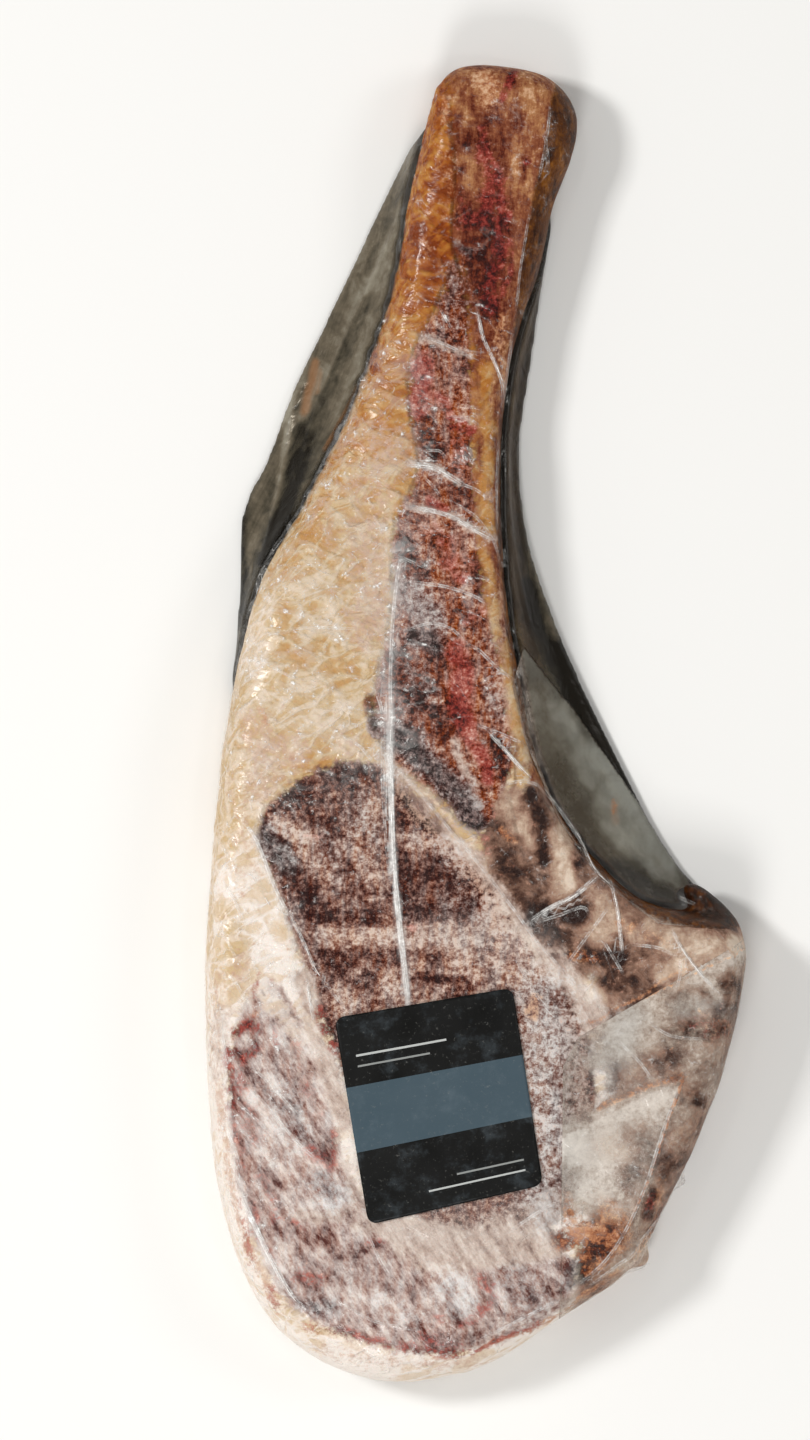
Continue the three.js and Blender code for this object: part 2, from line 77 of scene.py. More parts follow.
# Each stroke has a half-width, a strength, and then its points. These are redder places, where blood shows.
RED_STROKES = [
    # Sawn bone face
    (1.6, 1.0, (12, 214), (10, 210), (8.5, 206.5)),
    (0.9, 1.6, (16.8, 185.4), (17, 185.1)),
    (1.0, 1.6, (10.9, 167.8), (11.1, 167.4)),
    (1.8, 0.8, (1.5, 196), (3, 190), (3, 184)),
    (3.0, 1.0, (3, 186), (5, 179), (4, 172), (2, 166)),
    (2.6, 0.9, (8, 178), (8, 170), (8, 162)),
    (2.4, 0.6, (-4, 174), (-3, 168), (-4, 164)),
    (3.0, 0.95, (8, 158), (6, 150), (4, 143), (5, 137)),
    (1.0, 0.8, (12, 160), (11.5, 150), (9, 142)),
    # Lean beside the rib
    (4.0, 1.0, (-17.5, 119), (-18, 112), (-19, 104)),
    (2.4, 0.8, (-12, 108), (-9, 104)),
    (1.3, 1.0, (-9, 100.5), (-4, 99), (-1, 97)),
    (1.2, 0.9, (-9, 97), (-2, 96)),
    (3.6, 0.5, (-6, 92), (-5, 85)),
    (1.6, 1.0, (-16, 73), (-11, 71)),
    (4.5, 0.5, (-16, 64), (-8, 58), (-4, 52)),
    (2.8, 0.75, (-10, 52), (-6, 48)),
    (2.0, 0.6, (2, 36), (-3, 33)),
    (3.4, 0.95, (-7, 26), (-7, 22)),
    (4.2, 1.0, (-5, 19), (-5, 12), (-5, 4), (-3, 0)),
    (2.4, 0.9, (-3, -3), (-1, -7)),
    (2.4, 1.0, (1, -9), (3, -14), (3, -19)),
    (1.6, 0.5, (6, -27), (7, -32)),
    (3.0, 0.5, (2, -38), (4, -42)),
    # Eye
    (1.2, 0.6, (-56, -36), (-52, -38)),
    (1.2, 0.7, (-23, -66), (-21, -67)),
    (2.0, 0.75, (-52, -94), (-50, -100), (-46, -107)),
    # Cap and rim
    (0.9, 0.7, (-74, -91), (-73, -86), (-72, -83)),
    (0.9, 0.7, (-68, -88), (-67.5, -83)),
    (1.8, 0.8, (-79.5, -101.5), (-75, -99), (-72, -102.5)),
    (2.2, 0.8, (-81, -107), (-77, -110), (-73, -107)),
    (2.4, 0.65, (-82, -110), (-81.5, -118), (-80, -126)),
    (2.0, 0.55, (-80, -128), (-78.5, -138), (-76.5, -147)),
    (3.4, 0.45, (-78, -114), (-76, -126), (-73, -138)),
    (2.4, 0.45, (-60, -106), (-56, -118), (-53, -128)),
    (1.4, 0.6, (-74, -158), (-71, -170), (-66, -180)),
    (2.4, 0.5, (-71, -150), (-68, -158), (-66, -163)),
    (1.2, 0.7, (-68, -98), (-66, -106)),
    (1.5, 0.7, (-48, -134), (-47.5, -140), (-48, -147)),
    (2.8, 0.7, (-55, -141), (-51, -144)),
    (1.2, 0.8, (-60, -164), (-57, -166)),
    (1.4, 0.8, (-36, -171), (-31, -171)),
    (1.4, 0.6, (-77, -158), (-76, -168), (-74, -178)),
    (2.0, 0.6, (-68, -186), (-66, -192)),
    (2.2, 0.8, (2, -183), (4, -186)),
    (1.6, 0.6, (-13, -195.5), (-11, -196.5)),
    (2.0, 0.7, (-4, -198), (2, -194), (6, -190)),
    (2.4, 0.6, (-58, -182), (-52, -184)),
    (2.2, 0.65, (-56, -199), (-44, -201.5), (-32, -204), (-20, -207), (-10, -209), (-2, -208)),
    (1.1, 0.8, (-2, -208), (8, -204), (20, -199)),
    (3.0, 0.6, (-16, -203), (-6, -205)),
    # Chine
    (4.0, 0.5, (71, -100), (79, -101)),
    (1.4, 0.7, (58, -156), (57, -163)),
]
# A negative strength is darker than its surroundings, and a positive one paler.
TONE_STROKES = [
    # Sawn bone face
    (1.6, -0.8, (12, 214), (10, 210), (8.5, 206.5)),
    (0.9, -1.0, (16.8, 185.4), (17, 185.1)),
    (1.0, -1.0, (10.9, 167.8), (11.1, 167.4)),
    (2.4, -0.45, (-11, 186), (-11, 172), (-11.5, 160)),
    (2.2, 0.75, (-7, 206), (-6.5, 199), (-5, 192)),
    (1.4, 0.75, (-3, 203), (-2.5, 196)),
    (3.0, 0.7, (16, 213), (20, 209), (19, 203)),
    (4.0, 0.5, (2, 213), (6, 209)),
    (1.6, -0.7, (-2, 197), (-4, 190), (-6, 182)),
    (2.0, 0.6, (-4, 188), (-3, 181)),
    (1.8, -0.6, (1.5, 196), (3, 190)),
    (1.5, 0.8, (-5, 179.5), (-1, 177.5)),
    (1.4, 0.5, (-5, 172), (-4, 166)),
    (3.0, -0.8, (-4, 168), (-2, 160), (-4, 152)),
    (2.6, -0.5, (6, 200), (8, 190), (8, 180)),
    (2.4, -0.5, (-8, 200), (-6, 190), (-8, 178)),
    (2.0, -0.9, (-8, 163), (-3, 163.5), (0, 162)),
    (1.4, 0.9, (-6.5, 158.5), (-3, 156)),
    (3.8, -2.0, (6, 161), (3.5, 155), (2.5, 148), (0, 144)),
    (1.0, -1.0, (-9, 152), (-5, 150), (-2, 147)),
    (4.0, -0.5, (-10, 162), (-11, 150), (-13, 142)),
    (9.0, -0.9, (3, 166), (1, 152), (0, 136)),
    (5.2, -0.35, (-6, 147), (-6.5, 138), (-7, 130)),
    # Lean beside the rib
    (2.0, -0.7, (-6, 121), (-2, 118)),
    (3.8, -0.9, (-18, 98), (-15.5, 92), (-14, 88)),
    (3.2, -0.5, (-5, 93), (-4, 86), (-3, 82)),
    (1.5, -0.7, (-2, 96), (-1.5, 88)),
    (2.6, -0.7, (-6, 77), (-2, 72)),
    (3.0, -1.0, (-23.5, 58), (-21.5, 53), (-18, 50)),
    (2.2, -0.7, (0, 56), (1, 48), (2, 42)),
    (4.4, 0.4, (-21, 43), (-17, 37), (-13, 33)),
    (2.6, -0.45, (-6, 39), (-5, 34)),
    (3.4, -0.9, (-21, 29), (-16, 28), (-14, 24)),
    (3.2, -0.9, (-26, 22), (-25, 15), (-25.5, 8)),
    (5.6, -1.0, (-18, 11), (-13, 6), (-11, 0)),
    (4.0, -0.7, (-25, 4), (-22, -3)),
    (1.3, 0.9, (-15.5, 7.5), (-11.5, 7.5)),
    (4.6, -1.0, (-25, -7), (-17, -13), (-10, -20), (-5, -27), (-1, -33)),
    (2.4, -1.0, (5.5, -6), (8, -10), (9, -16)),
    (2.0, -0.9, (-34.5, 8), (-34, 3), (-33, -1)),
    # Chine
    (2.6, -1.0, (18, -24), (20.5, -32), (22, -40), (22.5, -45)),
    (4.4, -0.7, (10, -40), (11.5, -47), (14.5, -54), (19, -59)),
    (2.6, -0.4, (7, -34), (7.5, -39)),
    (3.0, 0.7, (27, -36), (29, -46), (30, -53)),
    (1.8, 0.6, (15, -30), (16.5, -37)),
    (2.2, -0.5, (11, -34), (14, -38)),
    (2.0, -0.7, (33, -42), (33.5, -46)),
    (4.6, -0.85, (20, -64), (27, -63.5), (34, -62)),
    (3.2, -0.7, (22, -69), (29, -73)),
    (1.5, -0.9, (35, -62), (35.5, -65)),
    (4.2, -0.75, (35, -75), (41, -76), (46, -79)),
    (2.4, -0.7, (38, -85), (46, -86)),
    (2.8, -0.6, (52, -84), (57, -87)),
    (1.4, -0.9, (27, -77), (30, -77.5)),
    (2.6, -0.7, (80, -95), (83, -93)),
    (3.6, -0.6, (72, -100), (79, -101)),
    (3.2, -0.55, (61, -112), (66, -110)),
    (3.4, -0.6, (37, -106), (42, -105)),
    (3.2, -0.9, (38, -119), (43, -118)),
    (1.6, -0.6, (45, -113), (44, -116)),
    (1.9, -0.75, (73, -124), (75, -125)),
    (2.8, -0.5, (83, -86), (85, -88)),
    (4.0, -0.5, (57, -140), (62, -146), (66, -143)),
    (4.0, -0.5, (50, -147), (52, -152)),
    (2.2, -0.9, (58, -156), (57, -163)),
    (1.0, -0.9, (48, -174), (49, -176)),
    (0.9, -0.7, (35, -100.5), (45, -95.5), (54, -90.5), (61, -86.5), (69, -82)),
    (3.6, -1.3, (29, -170), (34, -174), (41, -173)),
    (2.0, -0.9, (44, -166), (47, -169)),
    (3.6, -1.0, (30, -181), (34, -181)),
    (1.8, -0.7, (29, -186), (32, -183)),
    (7.0, -0.9, (68, -54), (76, -58), (84, -64), (90, -70)),
    (4.0, 0.5, (43, -60), (42, -66), (40, -70)),
    (5.0, 0.6, (66, -72), (76, -74), (86, -74)),
    (3.6, 0.5, (62, -82), (66, -80)),
    (3.4, 0.2, (33, -86), (39, -91), (40, -96)),
    (3.2, 0.5, (12, -28), (13, -33)),
    (3.6, 0.5, (28, -40), (27, -50)),
    (5.0, 0.5, (50, -98), (48, -106)),
    (5.0, 0.6, (42, -133), (50, -128), (60, -124)),
    (5.0, 0.9, (33, -140), (38, -142), (44, -143)),
    (2.8, 0.8, (36, -152), (42, -156)),
    (3.0, 0.5, (45, -183), (56, -172)),
    # Eye
    (6.0, 0.35, (-44, -83), (-24, -85), (-6, -84)),
    (3.8, -1.0, (-62, -21), (-57, -16), (-50, -14), (-42, -14), (-36, -17)),
    (4.2, -0.9, (-61, -26), (-56, -22), (-54, -28)),
    (2.8, -0.7, (-44, -20), (-40, -22), (-38, -20)),
    (3.4, -0.6, (-71, -34), (-66, -37), (-63, -41), (-64, -46), (-61, -50)),
    (4.2, -0.85, (-58, -53), (-55, -58), (-53, -64), (-45, -65), (-37, -66)),
    (2.8, -0.5, (-50, -30), (-45, -28)),
    (2.8, -0.4, (-48, -35), (-49, -42)),
    (3.2, -0.4, (-43, -56), (-37, -58)),
    (3.2, -0.95, (-26, -21), (-20, -26), (-15, -31), (-11, -36)),
    (2.6, -0.8, (-26, -31), (-20, -34)),
    (3.4, -0.9, (-26, -43), (-24, -50), (-24, -58), (-22, -62)),
    (3.2, -0.75, (-16, -50), (-10, -53), (-4, -56), (0, -60)),
    (2.6, -0.6, (-15, -60), (-8, -63), (-2, -64)),
    (2.6, -0.5, (-15, -42), (-11, -46)),
    (3.6, -0.6, (-50, -74), (-47, -78), (-42, -79)),
    (3.2, -0.5, (-33, -75), (-27, -78)),
    (2.8, -0.4, (-46, -86), (-36, -85)),
    (1.2, -0.9, (-20, -83), (-12, -84.5), (-3, -84)),
    (2.0, -0.9, (-51, -95), (-48, -103)),
    (2.6, -0.5, (-19, -75), (-13, -76)),
    (2.0, -0.6, (-1, -88), (-8, -88)),
    (2.6, 0.8, (-66, -33), (-59, -36), (-54, -38)),
    (3.0, 0.5, (-58, -42), (-52, -46), (-48, -50)),
    (3.2, 0.5, (-36, -24), (-34, -32)),
    (4.6, 0.45, (-36, -40), (-35, -48)),
    (3.6, 0.5, (-19, -38), (-10, -41), (-4, -45)),
    (3.2, 0.9, (-50, -70), (-38, -70), (-28, -70)),
    (4.4, 0.9, (-22, -69.5), (-8, -70), (6, -70), (16, -73)),
    (4.6, 0.7, (6, -78), (14, -82), (22, -84)),
    (3.4, 0.8, (-8, -79), (0, -80)),
    (3.6, 0.6, (-46, -90), (-42, -93)),
    (4.4, 0.8, (5, -62), (10, -70), (18, -78)),
    (6, 0.7, (20, -93), (21, -118), (21, -145)),
    # Cap
    (1.6, -0.7, (-82, -112), (-81.5, -118), (-80, -126)),
    (1.8, -0.8, (-79.5, -101.5), (-75, -99), (-72, -102.5)),
    (2.2, -0.8, (-81, -107), (-77, -110), (-73, -107)),
    (2.2, -0.5, (-78, -114), (-76, -126)),
    (3.0, -0.5, (-66, -110), (-62, -116)),
    (2.8, -0.6, (-64, -122), (-60, -127)),
    (2.8, -0.6, (-64, -136), (-58, -138)),
    (3.2, -0.7, (-56, -141), (-50, -143)),
    (3.8, -0.5, (-52, -152), (-47, -155)),
    (2.4, -0.6, (-67, -165), (-62, -168)),
    (2.8, -0.65, (-54, -169), (-47, -171), (-41, -174)),
    (1.2, -0.9, (-46, -176), (-38, -174.5), (-30, -171.5)),
    (2.8, -0.7, (-58, -183), (-52, -185)),
    (3.2, -0.7, (-58, -192), (-50, -194)),
    (2.8, -0.5, (-64, -190), (-60, -192)),
    (3.4, -0.45, (-34, -182), (-26, -184)),
    (2.4, -0.5, (-24, -186), (-20, -190)),
    (3.8, -0.5, (12, -184), (16, -190)),
    (2.8, -0.5, (6, -186), (10, -180)),
    (2.4, -0.6, (-8, -190), (-6, -197)),
    (2.8, -0.6, (-20, -201), (-12, -203), (-2, -203)),
    (2.8, -0.4, (20, -182), (24, -188)),
    (2.4, -0.6, (-68, -146), (-66, -152)),
    (1.6, -0.7, (-52, -200), (-36, -203.5), (-20, -207), (-4, -208.5)),
    (2.0, 0.7, (-75, -122), (-68, -131), (-60, -139), (-52, -146)),
    (1.8, 0.7, (-72, -112), (-64, -122)),
    (1.8, 0.6, (-72, -140), (-62, -147)),
    (4.4, 0.5, (-40, -188), (-30, -192)),
    (3.6, 0.8, (-12, -181), (-5, -184), (-4, -189)),
    (2.6, 0.7, (-66, -176), (-64, -184)),
    (2.6, 0.5, (-56, -160), (-46, -158)),
]
# Patches with little colour in them.
GREY_STROKES = [
    (4.0, 0.35, (14, 203), (14.5, 192), (12, 182)),
    (1.8, 0.8, (-6.5, 158), (-2, 155)),
    (5.0, 0.45, (-7, 146), (-6, 138), (-6, 130)),
    (5.2, 1.0, (-22, 44), (-18, 38), (-14, 33)),
    (4.0, 0.9, (-20, 29), (-14, 26)),
    (5.0, 0.6, (-20, 16), (-17, 8)),
    (5.2, 1.0, (-25, -4), (-18, -11), (-11, -18), (-5, -26), (-1, -33)),
    (2.8, 0.8, (-34, 0), (-31, -6)),
    (3.0, 0.5, (5, 12), (6, 4)),
    (6.0, 0.9, (50, -97), (47, -104), (44, -110)),
    (4.0, 0.8, (68, -94), (79, -94)),
    (5.0, 0.35, (20, -62), (30, -62)),
    (6.0, 0.4, (60, -140), (56, -150)),
    (4.0, 0.7, (33, -180), (31, -184)),
    (11.0, 0.8, (23, -92), (25, -118), (25, -160)),
    (4.0, 1.0, (-69, -36), (-65, -42), (-62, -48)),
    (5.0, 0.5, (-38, -28), (-36, -40)),
    (5.0, 0.4, (-50, -42), (-46, -48)),
    (5.0, 0.5, (-8, -60), (0, -62)),
    (5.0, 0.5, (-12, -40), (-6, -48)),
    (6.0, 0.6, (-62, -122), (-58, -138)),
    (6.0, 0.8, (-52, -152), (-46, -156)),
    (5.0, 0.7, (-55, -192), (-48, -194)),
    (6.0, 0.8, (-8, -185), (-4, -192)),
    (8.0, 0.6, (12, -184), (18, -190)),
    (6.0, 0.5, (-30, -190), (-20, -196)),
]
# Lean that shows through the fat beside it.
LEAN_STROKES = [
    (5.0, 1.0, (-5, 150), (-6.5, 142), (-6.5, 134), (-7, 127)),
    (2.6, 0.7, (-12, 136), (-12, 128)),
    (2.6, 1.0, (-34.5, 8), (-34, 3), (-32, -4)),
    (2.0, 0.8, (-26, 62), (-25, 56)),
    (2.6, 0.9, (-27, 20), (-28, 8), (-28, -6)),
    (4.0, 0.35, (-70, -30), (-64, -24), (-60, -14)),
    (2.6, 0.5, (-70, -90), (-74, -97)),
]
# Fat that covers the tip of the cap, and fat along the lean beside the rib.
FAT_STROKES = [
    (4.2, 1.0, (-71, -82), (-70, -88), (-66, -94)),
    (3.0, 0.8, (-62, -98), (-58, -104)),
    (2.6, 0.9, (3.4, 118), (3, 108), (3.6, 96), (3.6, 84), (4, 70), (4.6, 62)),
    (2.0, 0.9, (2.5, 57), (4.5, 50), (6.5, 40), (7, 30)),
    (2.6, 1.0, (11, 26), (12.5, 10), (13.5, 0), (15.5, -10), (15.5, -20)),
]
# Chine that shows through the seam beside it.
CHINE_STROKES = [
    (7.0, 1.7, (14, -27), (14, -34), (14.5, -42), (17, -50), (21, -60), (27, -69), (33, -77)),
    (5.0, 1.7, (7, -38), (8, -46), (12, -55), (18, -65), (24, -74)),
    (4.0, 1.7, (18, -24), (22, -36), (24, -48)),
]
# Pale seams of fat and gristle between the tissues.
SEAM_STROKES = [
    (2.0, 0.9, (-18, 127.5), (-10, 125), (-2, 121.5)),
    (1.9, 0.9, (-22, 86), (-14, 84.5), (-6, 79.5)),
    (1.5, 0.85, (-22, 71.5), (-10, 69.5), (-2, 65), (6, 60)),
    (2.2, 0.75, (-7, -6), (-4, -13), (-2, -20), (0, -27)),
    (2.4, 1.0, (-31, -11), (-24, -18.5), (-17, -26.5), (-8, -37), (2, -48.5), (12, -61.5), (20, -73.5),
     (27, -80), (34, -91), (36, -101)),
    (3.0, 0.6, (-1, -43), (5, -56), (13, -69), (21, -80)),
    (6.0, 1.0, (-36, -163), (-24, -168), (-10, -169), (6, -168), (18, -163), (26, -158)),
    (5.0, 0.9, (-24, -172), (-16, -177), (-10, -176)),
    (6.0, 1.1, (-8, -175), (8, -174), (26, -171)),
    (5.0, 1.1, (27, -80), (33, -89), (38, -97)),
    (4.0, 0.7, (-84, -96), (-84, -104), (-84, -116)),
    (3.0, 0.8, (-58, -162), (-46, -162), (-38, -160)),
    (3.8, 1.0, (-57, -84), (-54, -96), (-50, -110), (-46, -122), (-44, -132)),
    (3.0, 0.8, (-42, -146), (-40, -156)),
    (4.6, 0.6, (-66, -96), (-60, -104), (-56, -116)),
]
# Tan and orange stains.
STAIN_STROKES = [
    (3.6, 1.0, (2, 213.5), (4.5, 210.5), (4.5, 207)),
    (1.4, 1.0, (-9.5, 207), (-10.5, 203), (-10, 199)),
    (3.0, 0.6, (-10, 190), (-10, 178), (-9, 168)),
    (1.5, 0.8, (-17, 160), (-15.5, 156)),
    (2.0, 0.8, (8, 134), (8.6, 122), (9, 112)),
    (1.8, 0.6, (-72, 6), (-70, 1)),
    (2.2, 0.8, (19, -91), (18, -96)),
    (1.6, 0.7, (8, -36), (13, -38)),
    (1.4, 0.7, (47, -66), (51, -69), (53, -66)),
    (2.4, 0.45, (56, -70), (62, -72)),
    (1.8, 0.8, (31, -77), (38, -78)),
    (0.6, 0.8, (36, -99), (45, -94), (54, -89), (61, -85), (69, -80.5)),
    (1.1, 1.0, (40, -127), (48, -123.5), (58, -119.5), (66, -117)),
    (3.8, 1.0, (43, -160), (47, -165), (48, -170)),
    (4.6, 1.0, (30, -170), (36, -168), (43, -168)),
    (3.4, 0.8, (36, -176), (44, -172)),
    (2.8, 0.8, (30, -157), (31, -163)),
    (1.6, 0.8, (36, -182), (42, -177), (47, -172)),
    (2.6, 0.5, (76, -97), (82, -101)),
    (1.8, 0.6, (62, -150), (60, -158)),
    (1.0, 0.8, (2, -206), (14, -202), (26, -196), (36, -189), (48, -180)),
]
# Pinkish places, mostly in the fat.
BLUSH_STROKES = [
    (9, 0.7, (-31, 92), (-34, 78), (-35, 64)),
    (8, 0.8, (-35, 56), (-34, 42), (-36, 30)),
    (5, 0.4, (-52, 70), (-46, 60)),
    (6, 0.8, (-73, 0), (-70, -10), (-60, -9), (-72, -22)),
    (3, 0.6, (-84, -84), (-85, -104), (-84, -126)),
    (5, 0.6, (-78, -80), (-75, -88), (-70, -92)),
    (5, 0.5, (-80, -20), (-77, -36), (-76, -50)),
    (1.4, 0.9, (-84.5, -122), (-82.5, -140), (-80.5, -155), (-77, -168), (-73, -179), (-66, -191)),
    (3, 0.7, (12, -22), (8, -31), (4, -38)),
    (5, 0.7, (32, -92), (32, -104), (33, -135)),
    (3, 0.6, (-52, -207), (-24, -212), (2, -211)),
    (6, 0.8, (-26, -17), (-12, -34), (2, -50), (12, -62)),
    (5, 0.6, (-44, -6), (-36, -9), (-30, -6)),
    (6, 0.7, (10, 40), (12, 20), (14, 0)),
]
# Fat that is a deeper amber than around it, or paler where the strength is negative.
AMBER_STROKES = [
    (3.0, 0.5, (-19, 163), (-16, 157)),
    (3.0, 0.4, (-14, 150), (-17, 138)),
    (2.4, 0.7, (-36, 122), (-33, 118)),
    (5.0, 0.3, (-77, -78), (-81, -88), (-82, -97)),
    (3.0, 0.2, (-82, -62), (-80, -72)),
    (5.0, -0.3, (-72, 36), (-74, 20)),
    (4.0, -0.4, (-84, -55), (-80, -48)),
    (6.0, -0.2, (-73, -42), (-72, -56), (-69, -72), (-66, -84)),
    (3.0, 0.3, (-74, -172), (-66, -190), (-52, -204)),
    (4.0, -0.5, (-46, -211), (-30, -214)),
    (3.0, 0.3, (6, 60), (9, 36), (12, 14), (14, -4), (15.5, -18)),
]
# How far the fat goes from cream at 0 to dark amber at 1, by place along the steak.
WARMTH = [(-219, 0.08), (-180, 0.02), (-110, 0.03), (-75, 0.16), (-50, 0.24), (-20, 0.3), (20, 0.36),
          (60, 0.41), (78, 0.47), (90, 0.56), (118, 0.66), (135, 0.71), (148, 0.78), (162, 0.84),
          (185, 0.85), (219, 0.84)]
# How strongly the fat is pebbled, by place along the steak.
PEBBLES = [(-219, 0.12), (-110, 0.2), (-90, 0.5), (-50, 0.45), (-20, 0.25), (40, 0.25), (85, 0.55),
           (219, 0.65)]
# How strongly the film is crinkled, by place along the steak.
CRINKLES = [(-219, 0.55), (-60, 0.5), (-15, 0.8), (219, 0.9)]
# How pale the free film is on each side of the rib, by the distance from the meat: painted shade beside it.
LEFT_SHADE = [(2, 0.3), (4, 0.1), (9, 0.35), (12, 0.2), (20, 0.3)]
RIGHT_SHADE = [(2, 0.6), (5, 0.25), (9, 0.1), (13, 0.35), (18, 0.3)]
# What lies over the tissues, by the name that the meat's material reads it under.
FOOD_STROKES = {"seam": SEAM_STROKES, "red": RED_STROKES, "stain": STAIN_STROKES, "blush": BLUSH_STROKES,
                "grey": GREY_STROKES, "lean": LEAN_STROKES, "bony": CHINE_STROKES, "fatter": FAT_STROKES}
# Creases of the film, drawn whitish as partly the film's own whitening and partly painted highlight:
# half-width in millimetres, then points.
CREASES = [
    (0.4, (-23.8, 60), (-26.4, 46), (-27.8, 30), (-28.4, 12), (-28.2, -8)),
    (0.9, (-28.3, 6), (-28.4, -12), (-28, -30), (-27.2, -48), (-25.4, -66), (-22.4, -93)),
    (0.3, (-31, 2), (-31, -18), (-30, -36), (-28.5, -54)),
    (0.3, (-27, -14), (-17, -25), (-8, -36), (2, -48), (12, -61), (20, -72), (27, -80), (33, -88)),
    (0.25, (-12, 137), (-10, 133.5), (-8, 130)),
    (0.3, (-18, 128), (-10, 125), (-2, 121)),
    (0.5, (0.3, 136), (2.4, 127), (6, 119.5), (8.6, 113), (9.4, 107)),
    (0.25, (-10, 101), (-3, 101), (1, 98)),
    (0.25, (-17, 90), (-12, 90), (-10, 87)),
    (1.0, (-22, 85.5), (-14, 84.5), (-8, 81), (-5, 79)),
    (0.35, (-5, 79), (0, 77), (4, 74)),
    (0.3, (-17, 81), (-14, 78), (-12, 75)),
    (0.7, (-22, 71.5), (-12, 69.5), (-6, 67), (0, 63.5), (5, 61)),
    (0.3, (-6, 72), (0, 68), (6, 60), (8, 54)),
    (0.25, (22, 195), (23.5, 190), (24, 183)),
    (0.4, (-21, 46.5), (-10, 45), (-1, 42), (4, 39)),
    (0.3, (-25, 30), (-15, 33), (-8, 31), (-3, 26)),
    (0.4, (-3, 26), (1, 24), (6, 19), (13, 14)),
    (0.25, (1, 13), (8, 17), (12, 14)),
    (0.35, (0, -0.5), (8, -3.5), (16, -7)),
    (0.55, (4, -3), (10, -9.5), (14, -14), (18, -18)),
    (0.4, (-33, 10), (-31.6, 6), (-31, 3)),
    (0.25, (-25, 55), (-21, 53), (-16, 51)),
    (0.25, (-62, 31), (-52, 31.5), (-38, 31)),
    (0.25, (-70, 20), (-60, 15), (-50, 14)),
    (0.3, (-44, -4), (-38, -8), (-34, -13)),
    (0.4, (-78, -31), (-74, -36), (-71, -42), (-66, -55), (-60, -66)),
    (0.45, (-62, -62), (-57, -72), (-54, -79), (-50, -86)),
    (0.3, (-52, -80), (-48, -88), (-42, -95)),
    (0.5, (-56, -84), (-55, -91), (-53.5, -98)),
    (0.3, (-86, -38), (-82, -44), (-78, -52)),
    (0.3, (-84, -52), (-80, -58), (-76, -67)),
    (0.3, (-86, -66), (-82, -72), (-79, -78)),
    (0.3, (-83, -82), (-79, -86), (-76, -92)),
    (0.35, (-84, -103), (-83, -107), (-82, -112)),
    (0.3, (-85, -128), (-80, -140), (-77, -149)),
    (0.8, (-78, -155), (-70, -172), (-62, -187), (-58, -192)),
    (0.35, (-78, -117), (-70, -125), (-60, -137), (-50, -146)),
    (0.3, (-74, -113), (-66, -121), (-58, -130)),
    (0.3, (-80, -124), (-72, -131), (-63, -141)),
    (0.3, (-79, -133), (-72, -139), (-66, -147)),
    (0.35, (10, -20), (16, -19), (22, -21)),
    (0.45, (22, -21), (33, -36), (39, -48), (45, -54)),
    (0.5, (44.5, -52), (46.5, -62), (48, -76)),
    (0.8, (18, -65), (25, -60.5), (32, -57), (40, -50.5)),
    (0.4, (20, -65.5), (28, -63), (35, -60.5), (37, -63)),
    (0.35, (30, -79), (38, -68), (44, -60)),
    (0.35, (42, -72), (45, -77), (48, -82)),
    (0.35, (52, -73), (60, -74), (66, -77)),
    (0.45, (64, -67), (68, -75), (75, -84), (80, -89)),
    (0.3, (27, -80), (31, -84), (35, -89)),
    (0.35, (67, -78), (67, -83), (66, -87)),
    (0.3, (14, -80), (20, -90), (27, -98)),
    (0.4, (68, -117), (62, -133), (56, -152), (50, -166), (42, -178), (30, -188)),
    (0.3, (64, -160), (50, -176), (36, -187)),
    (0.35, (28, -190), (10, -199), (0, -204)),
    (0.35, (10, -168), (22, -160), (28, -157)),
    (0.3, (-20, -200), (-34, -197), (-46, -190)),
    (0.3, (-36, -168), (-30, -180), (-22, -188)),
    (0.3, (56, -98), (64, -103), (74, -104)),
    (0.3, (46, -104), (54, -112), (58, -118)),
    # A painted highlight along the face edge, drawn as thin creases
    (0.3, (24.4, 203), (23.2, 192), (21, 181)),
    (0.25, (17.6, 168), (16, 158), (14.6, 149), (13.4, 136)),
    (0.3, (12.2, 128), (10.6, 116), (9.2, 105)),
    (0.25, (7.8, 94), (7.1, 80), (7.2, 64)),
]
# Folds along the free strips of film beside the rib.
WEB_FOLDS = [
    (0.35, (-61, 111), (-63, 95), (-65, 80), (-68, 66), (-72, 52)),
    (0.3, (-24, 172), (-33, 150), (-45, 124), (-53, 104), (-58, 86)),
    (0.3, (14.8, 107), (13.2, 94), (13.6, 81), (14.9, 68), (17.8, 54), (22, 41), (26.4, 28), (33, 14),
     (39.6, 1), (46, -12), (52.6, -25), (60, -39), (68, -51)),
    (0.25, (10.5, 94), (10.5, 80), (11.6, 66), (13.6, 52), (16.6, 38), (20.5, 24)),
    (0.4, (46, -36), (54, -47), (66, -57), (73, -60)),
]
